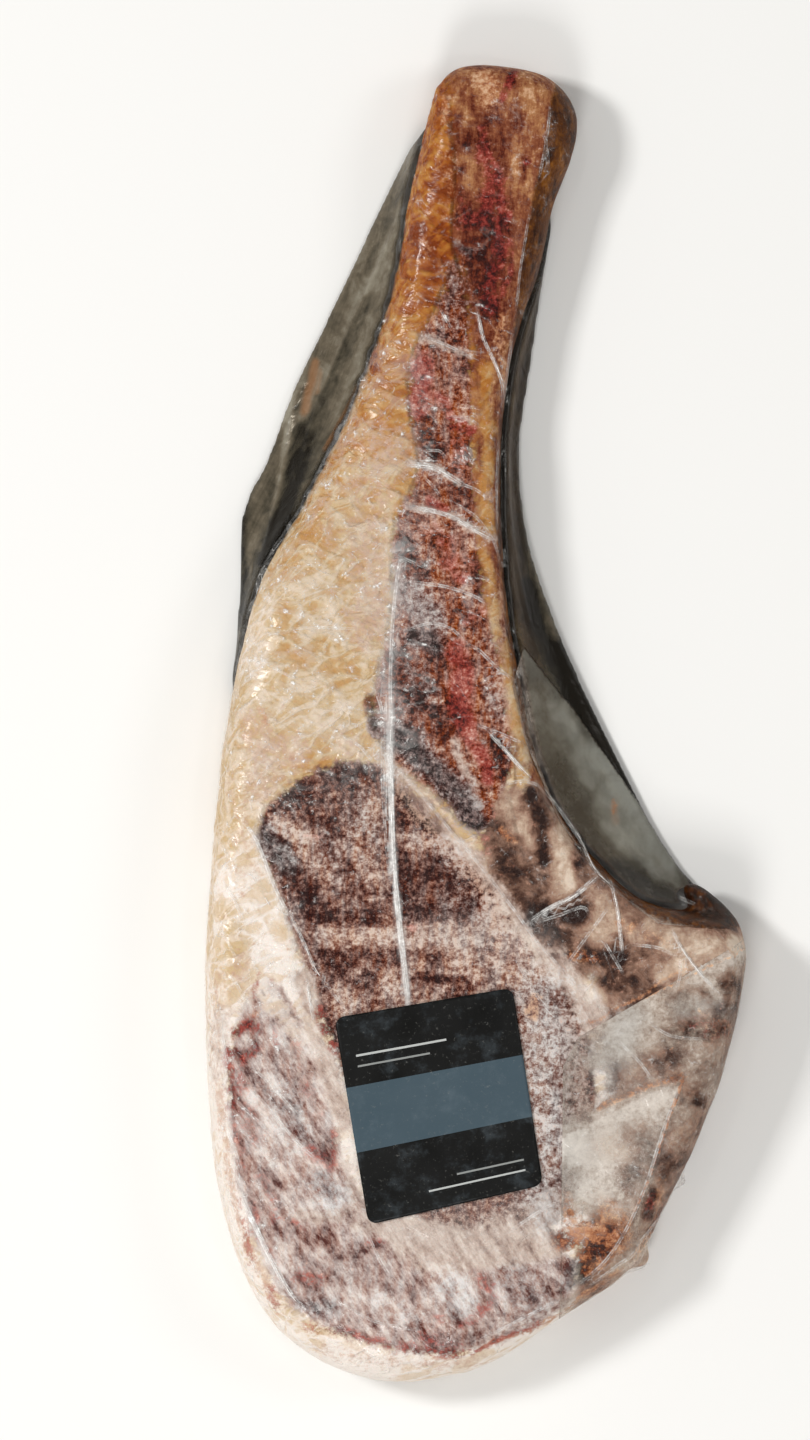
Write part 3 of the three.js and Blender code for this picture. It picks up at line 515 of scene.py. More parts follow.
# Clouds in the bone guard and streaks of its flap, whitish or, where the strength is negative, darker.
CLOUD_STROKES = [
    (6.5, 0.8, (45, -98), (52, -97), (58, -94)),
    (4.6, 0.75, (42, -104), (50, -104), (56, -102)),
    (3.6, 0.6, (40, -110), (50, -110)),
    (2.6, 0.85, (72, -84), (80, -80), (88, -76)),
    (1.6, 0.95, (70, -78), (75, -84), (80, -90)),
    (3.6, 0.5, (63, -95), (70, -92)),
    (3.6, 0.45, (64, -104), (70, -108)),
    (4.6, 0.8, (38, -132), (48, -128), (60, -123)),
    (4.6, 0.9, (31, -136), (34, -146), (42, -150)),
    (1.0, 1.0, (40, -149), (44, -152), (47, -157)),
    (4.4, 0.5, (60, -130), (66, -128)),
    (3.6, 0.5, (33, -152), (36, -158)),
    (5.4, 0.45, (72, -110), (76, -118)),
    (0.8, 0.9, (66, -120), (62, -135), (57, -150), (53, -166)),
    (3.6, 0.9, (40, -10), (48, -22), (56, -34), (63, -44)),
    (2.0, 0.6, (26, 6), (33, -8), (38, -20)),
    (1.4, 0.8, (32, 0), (40, -14)),
    (0.7, 0.9, (56, -52), (64, -58), (74, -62), (84, -66)),
    (5.0, -0.8, (28, -16), (36, -34), (44, -46), (56, -55), (72, -61)),
    (4.5, -1.0, (72, -60), (80, -63), (90, -68)),
    (5.0, 0.7, (46, -26), (52, -36), (62, -46)),
    (2.4, -0.7, (29, -11), (32, -18), (35, -24)),
    (5.5, -0.9, (30, -170), (36, -170), (43, -168)),
    (5.0, -0.9, (32, -184), (40, -177)),
]
# Orange and tan marks in the bone guard.
GUARD_MARKS = [
    (1.5, 0.6, (40, -127), (46, -124), (52, -121.5), (60, -118.5), (68, -116.5)),
    (0.6, 0.8, (68, -118), (63, -132), (58, -147), (52, -162), (50, -167)),
    (0.5, 0.7, (90, -74), (76, -80.5), (64, -86.5), (50, -93), (35, -101)),
    (0.5, 0.5, (70, -101), (62, -110), (56, -116)),
    (2.4, 0.6, (42, -160), (47, -165), (48, -170)),
    (1.2, 0.6, (30, -166), (38, -165), (44, -166)),
    (1.1, 0.55, (45.8, -26), (46.2, -30)),
    (1.3, 1.0, (30.4, -161.4), (30.8, -161.8)),
    (1.6, 0.6, (62, -158), (58, -168), (52, -177)),
    (3.0, 0.4, (74, -96), (80, -104)),
    (1.0, 0.5, (34, -182), (44, -176), (52, -168)),
]
# Flat facets between the folds of the bone guard: how much paler or, if negative, darker, and corners.
FACETS = [
    (0.5, [(27, -137), (67, -117.5), (51, -165), (27, -158)]),
    (-0.45, [(67, -117.5), (80, -112), (72, -145), (58, -170), (51, -165)]),
    (0.1, [(33.5, -103.5), (98, -66), (88, -96), (60, -106), (30, -118)]),
    (-0.3, [(30, -118), (60, -106), (80, -112), (67, -117.5), (27, -137)]),
]
# Torn tissue that stands out at two corners of the chine: middle, half sizes and turn.
TORN_LUMPS = [
    ((78.6, -62.4, 12.5), (14.5, 4.4, 9.5), -43),
    ((51.5, -175.4, 9.0), (7.5, 5.0, 8.5), -37),
]
# Corners of the bag: where, which way they point, how wide and how far they stand out in millimetres.
CORNERS = [
    ((53.5, -178), (0.8, -0.6), 7, 3.0),
    ((68, -152), (0.9, -0.4), 4, 2.5),
]
# Darker and paler bands of the free film: painted shade and light along its folds.
BAND_STROKES = [
    (1.2, 0.5, (-61.5, 109), (-63, 95), (-65, 80), (-68, 66), (-72, 52)),
    (3.0, -0.6, (-54, 101), (-58.5, 89), (-62, 76), (-66.5, 63), (-70, 54)),
    (1.8, 0.25, (-25, 170), (-34, 150), (-42, 135), (-50, 117), (-57, 102)),
    (2.0, -0.3, (-36, 140), (-42, 126), (-49, 111), (-54, 99)),
    (1.6, 0.15, (-29, 152), (-35, 134), (-43, 113), (-49, 99)),
    (1.6, -0.2, (-24, 180), (-31, 163), (-36, 150)),
    (1.8, -0.4, (-76, 80), (-78, 64), (-78, 48), (-79, 34)),
    (2.4, 0.15, (-71, 88), (-73, 74), (-74, 60)),
    (2.0, 0.3, (13.5, 32), (18, 22), (22, 14)),
    (5.0, 1.1, (20, 8), (23, -4), (29, -18), (37, -32), (46, -42)),
    (2.4, -0.6, (17, 46), (21, 32), (27, 18), (31, 10)),
    (1.3, 0.3, (34, 12), (42, -4), (50, -20)),
    (3.0, -0.5, (46, -48), (58, -56), (70, -61)),
    (4.0, -0.7, (74, -57), (81, -60), (88, -67)),
    (3.2, -0.9, (27, 24), (34, 9), (41, -5), (50, -20), (58.5, -34), (68, -48)),
]
# Rusty marks in the free film and along the edge of the fat.
RUST_STROKES = [
    (1.8, 0.5, (-53.5, 120), (-55, 112), (-57, 104)),
    (1.0, 0.4, (-51.5, 117), (-52.5, 110)),
    (1.4, 0.7, (46, -27), (46.3, -33)),
    (0.9, 0.5, (-23, 163), (-31, 131), (-41, 108), (-50, 91)),
    (1.0, 0.6, (66, -62), (76, -65), (86, -69)),
]
# Dark torn tissue at the corner of the chine.
TORN_STROKES = [
    (5.0, 1.0, (58, -52), (70, -56), (78, -58), (85, -63), (92, -71)),
]
# Haze in the film over the meat and along its folds, and painted highlights along the rounded left side.
HAZE_AND_HIGHLIGHT_STROKES = [
    (2.4, 0.3, (-25.5, 58), (-27.4, 40), (-29, 20), (-29.6, 0)),
    (6.0, 0.16, (-10, -68.5), (6, -70), (22, -72)),
    (9.0, 0.14, (-30, -162), (-10, -165), (12, -163)),
    (12, 0.12, (44, -108), (52, -128), (44, -146)),
    (2.0, 0.8, (68.5, -152), (72, -153.5)),
    (0.9, 0.8, (-28.3, 8), (-28.4, -12), (-28, -30), (-27.2, -48), (-25.4, -66), (-22.4, -94)),
    # Painted highlights along the rounded left side
    (0.8, 0.6, (-84, -96), (-83.5, -110), (-82, -128), (-81, -138)),
    (0.9, 0.75, (-78.5, -150), (-74, -164), (-67, -181)),
    (0.8, 0.7, (-74, -36), (-70, -46), (-64, -62), (-61, -72), (-60, -88)),
]
# Corners of the label: the lower left and right one, then the upper ones.
LABEL_CORNERS = [[(-35.6, -165.2), (21.9, -152.1)], [(-46.8, -97.0), (11.8, -87.1)]]
# Straight edges of the bone guard and of its flap on the free film.
GUARD_PATCH = [(98, -66), (33.5, -103.5), (28.5, -113), (27.5, -205), (70, -205), (105, -140)]
FLAP_PATCH = [(16, 25), (28.5, 9), (31, 7), (54, -26), (72, -54), (93, -69), (60, -66), (44, -54),
              (28, -33), (16, -5), (12, 12)]


# Sizes that are no setting, in millimetres

# Fields of the regions stop at this distance from a border.
FIELD_LIMIT = 12
# The side of the rib and chine, brown and darkened with painted shade, goes down to here along the steak.
SIDE_END = -68
# The film's skin starts this far out from the meat. It keeps the clearance wherever the meat is within reach.
FILM_START = 1.0
FILM_CLEARANCE = 0.22
CLEARANCE_REACH = 2.0
# The film counts as free from the first distance to the meat on, and wholly free at the second.
FREE_FILM = (1.7, 3.2)
# Half-width of a crease's edges, past the crease's own.
CREASE_MARGIN = 0.45
# Creases of at least this half-width are real ridges, whose own half-width is this share of it.
RIDGE_LEAST = 0.45
RIDGE_SHARE = 0.45
# The guard covers the film from this height up, apart from its flap, and its sheet is this thick.
GUARD_LOWEST = 15.5
GUARD_THICKNESS = 0.12
# Rounds of smoothing of the film's skin and of the label.
FILM_ROUNDING = 6
LABEL_ROUNDING = 12
# The label lies this far over the film.
LABEL_LIFT = 0.12
# The label's band, from where to where as shares of its height from the middle.
LABEL_BAND = (-0.152, 0.161)
# The label's rules: lower and upper edge over its middle, left and right margin, and colour.
LABEL_RULES = [(20, 20.7, 5, 24, "#B9BBB8"), (16.6, 17.2, 5, 30, "#8F918E"),
               (-27.5, -26.9, 21.5, 5, "#B9BBB8"), (-24, -23.4, 31.5, 5, "#8F918E")]
# A height above everything, from which the film's top is found.
ABOVE = 90
# The view's middle on the pack and its length on the ground: 1,440 pixels of the photo, 3 to the millimetre.
VIEW_MIDDLE = (-23.55, 1.0)
VIEW_LENGTH = 1440 / 3
# Width of the camera's sensor.
SENSOR = 36
# The floor's half-size in metres, and how far it lies below the pack.
FLOOR_REACH = 4.0
FLOOR_GAP = 0.3
# Colour and strength of the soft light from all round.
SKY = ((1.0, 0.99, 0.97, 1), 0.33)
# Lamps: name, place and size in metres, and power in watts.
LAMPS = [
    ("key", (-1.5, 0.5, 1.7), 0.4, 27),
    ("side", (1.3, 0.3, 1.2), 0.5, 4),
    ("front", (-0.3, -1.4, 1.5), 0.6, 15),
    ("glint", (-0.4, 0.75, 1.9), 0.12, 1.2),
    ("spark", (0.55, -0.3, 1.9), 0.12, 1.4),
]

# Colours of each tissue along its pattern, as places from 0 to 1 and sRGB hex values: the fat's from cream to
# dark amber, and the others' from dark marks to pale ones.
TISSUE_COLOURS = {
    "fat": [(0.0, "#F4E9DF"), (0.14, "#E6D2BC"), (0.32, "#D0B48A"), (0.48, "#C29256"), (0.64, "#B6772F"),
            (0.84, "#9C5216"), (1.0, "#7C3406")],
    "muscle": [(0.0, "#280F0C"), (0.2, "#42211B"), (0.5, "#836056"), (0.8, "#BDA294"), (1.0, "#DCCABE")],
    "cap": [(0.0, "#553531"), (0.2, "#8A6F68"), (0.5, "#B9A39B"), (0.8, "#DCCFC7"), (1.0, "#EADFD8")],
    "tail": [(0.0, "#240D09"), (0.2, "#522217"), (0.5, "#915C4B"), (0.8, "#C3A08D"), (1.0, "#DFC7B6")],
    "bone": [(0.0, "#2A0602"), (0.2, "#5C1F0B"), (0.5, "#894D30"), (0.8, "#B27C50"), (1.0, "#D6AA86")],
    "chine": [(0.0, "#2A1813"), (0.2, "#54382C"), (0.5, "#987562"), (0.8, "#C3A892"), (1.0, "#DFCCB8")],
    # The side's dark browns are partly its own colour and partly painted shade.
    "side": [(0.0, "#140801"), (0.25, "#341705"), (0.55, "#5E320A"), (0.8, "#7F4B14"), (1.0, "#A06628")],
    "seam": [(0.0, "#84695F"), (0.3, "#B39B8E"), (0.6, "#CDB9AC"), (1.0, "#E8DBD0")],
    "blood": [(0.0, "#33090A"), (0.2, "#661A16"), (0.5, "#96362C"), (0.8, "#BC7566"), (1.0, "#DDB3A6")],
    "stain": [(0.0, "#542619"), (0.2, "#894628"), (0.5, "#BA794F"), (0.8, "#D0A07A"), (1.0, "#DFB998")],
}


# Curves and noise

def smooth_line(points, step=3.0):
    """A line through the points, rounded at each of them, with a point about every step millimetres."""
    knots = np.array(points, float)
    before = np.vstack([2 * knots[0] - knots[1], knots[:-1]])
    after = np.vstack([knots[1:], 2 * knots[-1] - knots[-2]])
    slope = (after - before) / 2
    found = []
    for i in range(len(knots) - 1):
        count = max(2, round(np.linalg.norm(knots[i + 1] - knots[i]) / step))
        t = np.linspace(0, 1, count, endpoint=False)[:, None]
        found.append((2 * t**3 - 3 * t**2 + 1) * knots[i] + (t**3 - 2 * t**2 + t) * slope[i]
                     + (3 * t**2 - 2 * t**3) * knots[i + 1] + (t**3 - t**2) * slope[i + 1])
    return np.vstack([*found, knots[-1:]])


def line_distance(places, line):
    """For each place: the distance to a line with its sign by side, and the share of the way along it."""
    best = np.full(len(places), np.inf)
    signed = np.zeros(len(places))
    share = np.zeros(len(places))
    lengths = np.linalg.norm(np.diff(line, axis=0), axis=1)
    starts = np.concatenate([[0], np.cumsum(lengths)])
    for a, b, length, start in zip(line[:-1], line[1:], lengths, starts):
        along = (b - a) / length
        offset = places - a
        t = np.clip(offset @ along, 0, length)
        gap = offset - t[:, None] * along
        distance = np.linalg.norm(gap, axis=1)
        side = np.sign(offset[:, 0] * along[1] - offset[:, 1] * along[0])
        nearer = distance < best
        best[nearer] = distance[nearer]
        signed[nearer] = (side * distance)[nearer]
        share[nearer] = ((start + t) / starts[-1])[nearer]
    return signed, share


def ramp(value, low, high):
    """0 below low, 1 above high, and a smooth rise between."""
    t = np.clip((value - low) / (high - low), 0, 1)
    return t * t * (3 - 2 * t)


def stroke_field(places, strokes):
    """Strokes painted over each other on the places, each fading out around its half-width."""
    field = np.zeros(len(places))
    for width, strength, *points in strokes:
        signed, _ = line_distance(places, smooth_line(points))
        cover = 1 - ramp(np.abs(signed), 0.3 * width, 1.7 * width)
        field = field * (1 - cover) + cover * (strength if strength < 0 else np.maximum(field, strength))
    return field


def bumps(points, size, seed):
    """Smooth noise from -1 to 1 over points, with bumps about size millimetres across."""
    grid = points / size + 1000
    cell = np.floor(grid).astype(np.int64)
    t = grid - cell
    t = t * t * (3 - 2 * t)
    total = np.zeros(len(points))
    for corner in itertools.product((0, 1), repeat=3):
        at = cell + corner
        # Large primes mix the corner's place and the seed into an even spread of values
        key = (at[:, 0] * 73856093) ^ (at[:, 1] * 19349663) ^ (at[:, 2] * 83492791) ^ (seed * 2654435)
        key = ((key ^ (key >> 13)) * 1274126177) & 0xFFFFFFFF
        value = ((key ^ (key >> 16)) % 65521) / 65521
        total += value * np.prod(np.where(corner, t, 1 - t), axis=1)
    return 2 * total - 1


def wrinkles(points, size, seed):
    """Thin ridges from 0 to 1 over points, on the lines where warped noise passes zero."""
    bend = np.stack([bumps(points, 1.6 * size, seed + 1), bumps(points, 1.6 * size, seed + 2),
                     bumps(points, 1.6 * size, seed + 3)], axis=1)
    return 1 - ramp(np.abs(bumps(points + 0.5 * size * bend, size, seed)), 0.0, 0.28)


def between(value, knots):
    """Linear interpolation in a list of (place, value) knots."""
    return np.interp(value, [k[0] for k in knots], [k[1] for k in knots])


def within(places, corners):
    """Whether each place is inside a polygon."""
    found = np.zeros(len(places), bool)
    x, y = places.T
    for (ax, ay), (bx, by) in zip(corners, corners[1:] + corners[:1]):
        crosses = (ay > y) != (by > y)
        found ^= crosses & (x < (bx - ax) * (y - ay) / (by - ay + 1e-12) + ax)
    return found


# Meshes as arrays

def points_of(mesh):
    """The mesh's points in millimetres, one row each."""
    found = np.empty(3 * len(mesh.vertices))
    mesh.vertices.foreach_get("co", found)
    return found.reshape(-1, 3) / MM


def normals_of(mesh):
    """The direction that the mesh faces at each point."""
    found = np.empty(3 * len(mesh.vertices))
    mesh.vertex_normals.foreach_get("vector", found)
    return found.reshape(-1, 3)


def move_points(mesh, points):
    """Puts the mesh's points at new places in millimetres."""
    mesh.vertices.foreach_set("co", (points * MM).ravel())
    mesh.update()


def relax(mesh, rounds, share=0.6):
    """Smooths the mesh by rounds of moving each point towards the middle of its neighbours."""
    edges = np.empty(2 * len(mesh.edges), int)
    mesh.edges.foreach_get("vertices", edges)
    a, b = edges.reshape(-1, 2).T
    points = points_of(mesh)
    size = len(points)
    count = np.maximum(1, np.bincount(edges, minlength=size))[:, None]
    for _ in range(rounds):
        total = np.stack([np.bincount(a, points[b, k], size) + np.bincount(b, points[a, k], size)
                          for k in range(3)], axis=1)
        points = points + share * (total / count - points)
    move_points(mesh, points)


def put(mesh, name, values):
    """Stores one number a point under a name that a material can read."""
    layer = mesh.attributes.new(name, "FLOAT", "POINT")
    layer.data.foreach_set("value", np.asarray(values, np.float32))


def copy_of(nodes, name):
    """One merged copy of some CAD nodes, as a mesh."""
    work = bmesh.new()
    for node in nodes:
        work.from_mesh(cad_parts[node].data)
    bmesh.ops.remove_doubles(work, verts=work.verts, dist=0.001 * MM)
    return mesh_from(work, name)


def mesh_from(work, name):
    """A mesh with what a bmesh holds, which is freed."""
    mesh = bpy.data.meshes.new(name)
    work.to_mesh(mesh)
    work.free()
    return mesh


def tree_of(mesh):
    """A search tree over a mesh, in millimetres."""
    faces = [tuple(face.vertices) for face in mesh.polygons]
    return BVHTree.FromPolygons([Vector(p) for p in points_of(mesh)], faces)


def distances(tree, points):
    """How far each point is from the mesh of the tree."""
    return np.array([tree.find_nearest(Vector(p))[3] for p in points])


def tops(tree, places):
    """The height of the mesh of the tree at each place, seen from above."""
    down = Vector((0, 0, -1))
    hits = [tree.ray_cast(Vector((x, y, ABOVE)), down)[0] for x, y in places]
    return np.array([hit.z if hit else np.nan for hit in hits])


def changed(mesh, kind, inputs=None, **settings):
    """The mesh that a modifier makes of another one, with its nodes' inputs given by name."""
    shape = bpy.data.objects.new(mesh.name, mesh)
    bpy.context.collection.objects.link(shape)
    modifier = shape.modifiers.new("change", kind)
    for name, value in settings.items():
        setattr(modifier, name, value)
    for name, value in (inputs or {}).items():
        modifier[modifier.node_group.interface.items_tree[name].identifier] = value
    evaluated = shape.evaluated_get(bpy.context.evaluated_depsgraph_get())
    made = bpy.data.meshes.new_from_object(evaluated)
    bpy.data.objects.remove(shape)
    return made


def main_shell(mesh):
    """Deletes all but the largest connected part of the mesh."""
    work = bmesh.new()
    work.from_mesh(mesh)
    unseen = set(work.verts)
    parts = []
    while unseen:
        front = [unseen.pop()]
        part = list(front)
        while front:
            reached = {edge.other_vert(vert) for vert in front for edge in vert.link_edges} & unseen
            unseen -= reached
            front = list(reached)
            part += front
        parts.append(part)
    parts.sort(key=len)
    for part in parts[:-1]:
        bmesh.ops.delete(work, geom=part, context="VERTS")
    work.to_mesh(mesh)
    work.free()


def voxelled(mesh, size):
    """The mesh's outside as one even skin of squares, each about size millimetres across."""
    skin = changed(mesh, "REMESH", mode="VOXEL", voxel_size=size * MM)
    main_shell(skin)
    return skin


def show(mesh, name, material, slot, *nodes):
    """Puts a finished mesh into the scene as a piece on the frame's one body."""
    mesh.materials.clear()
    mesh.materials.append(material)
    mesh.polygons.foreach_set("use_smooth", np.ones(len(mesh.polygons), bool))
    piece = bpy.data.objects.new(name, mesh)
    bpy.context.collection.objects.link(piece)
    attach(piece, "root")
    if nodes:
        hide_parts(*nodes)
    return piece


# Materials

def linear(code):
    """An sRGB hex colour such as C08A4E as the linear colour that a shader takes."""
    parts = [int(code.lstrip("#")[i:i + 2], 16) / 255 for i in (0, 2, 4)]
    return (*[c / 12.92 if c <= 0.04045 else ((c + 0.055) / 1.055) ** 2.4 for c in parts], 1.0)


def rate(size):
    """The scale of a pattern on object coordinates, from the size of one of its marks in millimetres."""
    return 1 / (size * MM)


def add(tree, kind, inputs=(), out=0, stops=(), **settings):
    """Adds a node with its settings, its inputs in order or by name, and its ramp's (place, colour) stops."""
    made = tree.nodes.new(kind)
    for name, value in settings.items():
        setattr(made, name, value)
    for key, value in inputs.items() if isinstance(inputs, dict) else enumerate(inputs):
        if isinstance(value, bpy.types.NodeSocket):
            tree.links.new(value, made.inputs[key])
        else:
            made.inputs[key].default_value = value
    for i, (place, code) in enumerate(stops):
        element = made.color_ramp.elements[i] if i < 2 else made.color_ramp.elements.new(place)
        element.position, element.color = place, linear(code)
    return made.outputs[out] if made.outputs else made


def new_material(name):
    """An empty node material, and the function that adds nodes to it."""
    material = bpy.data.materials.new(name)
    material.use_nodes = True
    material.node_tree.nodes.clear()
    return material, partial(add, material.node_tree)


def weighted(node, start, *terms):
    """A starting number plus each term, which is some outputs multiplied together and then a weight."""
    total = start
    for output, *others, weight in terms:
        for other in others:
            output = node("ShaderNodeMath", [output, other], operation="MULTIPLY")
        total = node("ShaderNodeMath", [output, weight, total], operation="MULTIPLY_ADD")
    return total


def crinkled(node, place, size, turn, stretch, half=0.055):
    """Ridges from 0 to 1 on the lines where noise passes its middle value, drawn out along one direction."""
    turned = node("ShaderNodeMapping", {"Vector": place, "Rotation": (0, 0, math.radians(turn)),
                                        "Scale": (stretch, 1, 1)}, vector_type="TEXTURE")
    noise = node("ShaderNodeTexNoise", {"Vector": turned, "Scale": rate(size), "Detail": 3.0,
                                        "Distortion": 0.7})
    centred = node("ShaderNodeMath", [noise, 0.5], operation="SUBTRACT")
    offset = node("ShaderNodeMath", [centred], operation="ABSOLUTE")
    return node("ShaderNodeMapRange", [offset, 0.0, half, 1.0, 0.0], **SMOOTH)


def beef_patterns(node, place, fields):
    """Marks of the meat at their real sizes, and the sums of them that pick each tissue's colour."""
    tone, warm = fields["tone"], fields["warm"]
    broad = node("ShaderNodeTexNoise", {"Vector": place, "Scale": rate(18), "Detail": 2.0, "Roughness": 0.5})
    patch = node("ShaderNodeTexNoise", {"Vector": place, "Scale": rate(9), "Detail": 4.0, "Roughness": 0.65,
                                        "Distortion": 0.5})
    ragged = node("ShaderNodeTexNoise", {"Vector": place, "Scale": rate(5), "Detail": 5.0, "Roughness": 0.65})
    grain = node("ShaderNodeTexNoise", {"Vector": place, "Scale": rate(1.9), "Detail": 5.0, "Roughness": 0.8})
    # Fibres run along the rib, so their pattern is drawn out in Y
    drawn = node("ShaderNodeMapping", {"Vector": place, "Scale": (1.0, 0.22, 1.0)})
    fibre = node("ShaderNodeTexNoise", {"Vector": drawn, "Scale": rate(2.4), "Detail": 5.0, "Roughness": 0.7})
    # Fat is pebbled like orange peel, in cells of about 3 mm that lean along the rib's slope
    turned = node("ShaderNodeMapping", {"Vector": place, "Rotation": (0, 0, math.radians(-20)),
                                        "Scale": (1.7, 1, 1)}, vector_type="TEXTURE")
    peel = node("ShaderNodeTexNoise", {"Vector": turned, "Scale": rate(3.2), "Detail": 1.5,
                                       "Distortion": 0.4})
    cells = node("ShaderNodeMath", [peel, 0.5], operation="SUBTRACT")
    # The film presses fine folds into it, which are painted paler along their crests as light catching them
    pressed = crinkled(node, place, 6, 32, 2.0, 0.12)
    # Marbling of the cap is drawn out along its long side
    slanting = node("ShaderNodeMapping", {"Vector": place, "Rotation": (0, 0, math.radians(-58)),
                                          "Scale": (3.2, 1, 1)}, vector_type="TEXTURE")
    strand = node("ShaderNodeTexNoise", {"Vector": slanting, "Scale": rate(2.6), "Detail": 5.0,
                                         "Roughness": 0.7})
    # In the fat's colour, the crests of its pebbles and pressed folds are painted paler as light on them, and
    # the pebbles' hollows darker as shade
    warmth = weighted(node, -0.33, (warm, 1.0), (broad, 0.3), (ragged, 0.2), (grain, 0.25),
                      (fields["lump"], -0.05), (tone, -0.16), (cells, warm, warm, -1.3), (pressed, -0.17))
    value = weighted(node, -1.7, (grain, 2.8), (patch, 1.0), (ragged, 0.6), (tone, 0.36))
    fine = weighted(node, -1.75, (grain, 1.2), (strand, 2.2), (patch, 0.6), (ragged, 0.5), (tone, 0.38))
    smooth = weighted(node, -0.9, (grain, 0.5), (patch, 1.4), (ragged, 0.9), (tone, 0.55))
    streaked = weighted(node, -1.4, (fibre, 1.3), (grain, 1.2), (patch, 1.3), (tone, 0.36))
    picked = {"fat": warmth, "muscle": value, "cap": fine, "tail": value, "bone": streaked, "chine": smooth,
              "side": streaked, "seam": fine, "blood": value, "stain": value}
    return ragged, grain, fibre, peel, pressed, picked


def raw_beef():
    """Raw marbled beef, fat and bone under one skin: gritty marbling about a millimetre fine, ragged borders
    between the tissues, and a dull moist face."""
    material, node = new_material("raw_marbled_beef_and_fat")
    place = node("ShaderNodeTexCoord", out="Object")
    fields = {name: node("ShaderNodeAttribute", attribute_name=name, out="Fac")
              for name in (*REGIONS, "side", "warm", "lump", "tone", *FOOD_STROKES)}
    ragged, grain, fibre, peel, pressed, picked = beef_patterns(node, place, fields)
    ramps = {name: node("ShaderNodeValToRGB", [factor], stops=TISSUE_COLOURS[name])
             for name, factor in picked.items()}

    # Some of the lean is greyish and some is redder
    lively = node("ShaderNodeMapRange", [fibre, 0.36, 0.64, 0.75, 1.4])
    for name in ("muscle", "cap", "tail"):
        ramps[name] = node("ShaderNodeHueSaturation", {"Saturation": lively, "Color": ramps[name]})
    shaken = weighted(node, -6.5, (ragged, 7.0), (grain, 6.0))
    colour = ramps["fat"]
    for name, soft, over in (("eye", 1.3, "muscle"), ("cap", 1.6, "cap"), ("chine", 3.0, "chine"),
                             ("tail", 1.5, "tail"), ("rib", 2.2, "bone")):
        border = node("ShaderNodeMath", [fields[name], shaken], operation="ADD")
        mask = node("ShaderNodeMapRange", [border, -soft, soft], **SMOOTH)
        colour = node("ShaderNodeMix", {0: mask, 6: colour, 7: ramps[over]}, **COLOUR)
    speckled = weighted(node, -2.2, (grain, 2.8), (ragged, 1.6))
    torn = weighted(node, -1.4, (grain, 0.8), (ragged, 2.0))
    for name, over, strength in (("blush", linear("#CDAB96"), 0.75), ("lean", ramps["tail"], 0.95),
                                 ("bony", ramps["chine"], 1.0), ("fatter", ramps["fat"], 0.9),
                                 ("seam", ramps["seam"], 0.95), ("grey", None, 0.85),
                                 ("stain", ramps["stain"], 0.9), ("red", ramps["blood"], 0.95)):
        over = over or node("ShaderNodeHueSaturation", {"Saturation": 0.3, "Value": 0.97, "Color": colour})
        broken = torn if name in ("bony", "seam", "lean", "fatter") else speckled
        cover = node("ShaderNodeMath", [fields[name], broken], operation="ADD")
        mask = node("ShaderNodeMapRange", [cover, 0.3, 1.1, 0.0, strength], **SMOOTH)
        colour = node("ShaderNodeMix", {0: mask, 6: colour, 7: over}, **COLOUR)
    # The rib's and chine's side is painted dark brown: its own colour, darkened further as painted shade
    brink = weighted(node, -1.0, (fields["side"], 1.0), (ragged, 2.0))
    mask = node("ShaderNodeMapRange", [brink, -0.8, 0.8], **SMOOTH)
    colour = node("ShaderNodeMix", {0: mask, 6: colour, 7: ramps["side"]}, **COLOUR)

    fatty = node("ShaderNodeMapRange", [fields["fat"], -0.5, 1.5], **SMOOTH)
    rise = weighted(node, 0.0, (grain, 0.6), (ragged, 0.8), (fatty, peel, fields["warm"], 5.0),
                    (fatty, pressed, 0.35))
    relief = node("ShaderNodeBump", {"Strength": 0.8, "Distance": 0.9 * MM, "Height": rise})
    surface = node("ShaderNodeBsdfPrincipled", {
        "Base Color": colour, "Roughness": 0.5, "Normal": relief, "IOR": 1.4, "Specular IOR Level": 0.1,
        "Subsurface Weight": 0.04, "Subsurface Radius": (1.0, 0.4, 0.25), "Subsurface Scale": 1.0 * MM,
    })
    node("ShaderNodeOutputMaterial", {"Surface": surface})
    return material


def film_smoke(node, place, fields, cloud, speck):
    """The colour of film that spans free: smoky with painted highlight streaks and shade, browner or rusty in
    places.
    """
    # Painted highlight streaks follow the free strips of film: narrow across them and long along them
    parts = node("ShaderNodeSeparateXYZ", [place], out="Y")
    along = node("ShaderNodeMath", [parts, 30.0], operation="MULTIPLY")
    over = node("ShaderNodeMath", [fields["gap"], 0.42], operation="MULTIPLY")
    strip = node("ShaderNodeCombineXYZ", [over, along, 0.0])
    streak = node("ShaderNodeTexNoise", {"Vector": strip, "Scale": 1.0, "Detail": 5.0, "Roughness": 0.6})
    streak = weighted(node, -0.1, (streak, 0.35), (cloud, 0.45), (speck, 0.2), (fields["shade"], 0.38))
    smoke = node("ShaderNodeValToRGB", [streak], stops=[
        (0.3, "#211D17"), (0.46, "#4A4438"), (0.6, "#6B6151"), (0.8, "#938C7C")])
    brown = node("ShaderNodeValToRGB", [streak], stops=[
        (0.3, "#170F08"), (0.5, "#35281A"), (0.62, "#4A3A28"), (0.8, "#66563F")])
    smoke = node("ShaderNodeMix", {0: fields["brown"], 6: smoke, 7: brown}, **COLOUR)
    rusty = node("ShaderNodeMapRange", [fields["rust"], 0.1, 0.9], **SMOOTH)
    return node("ShaderNodeMix", {0: rusty, 6: smoke, 7: linear("#A36F45")}, **COLOUR)


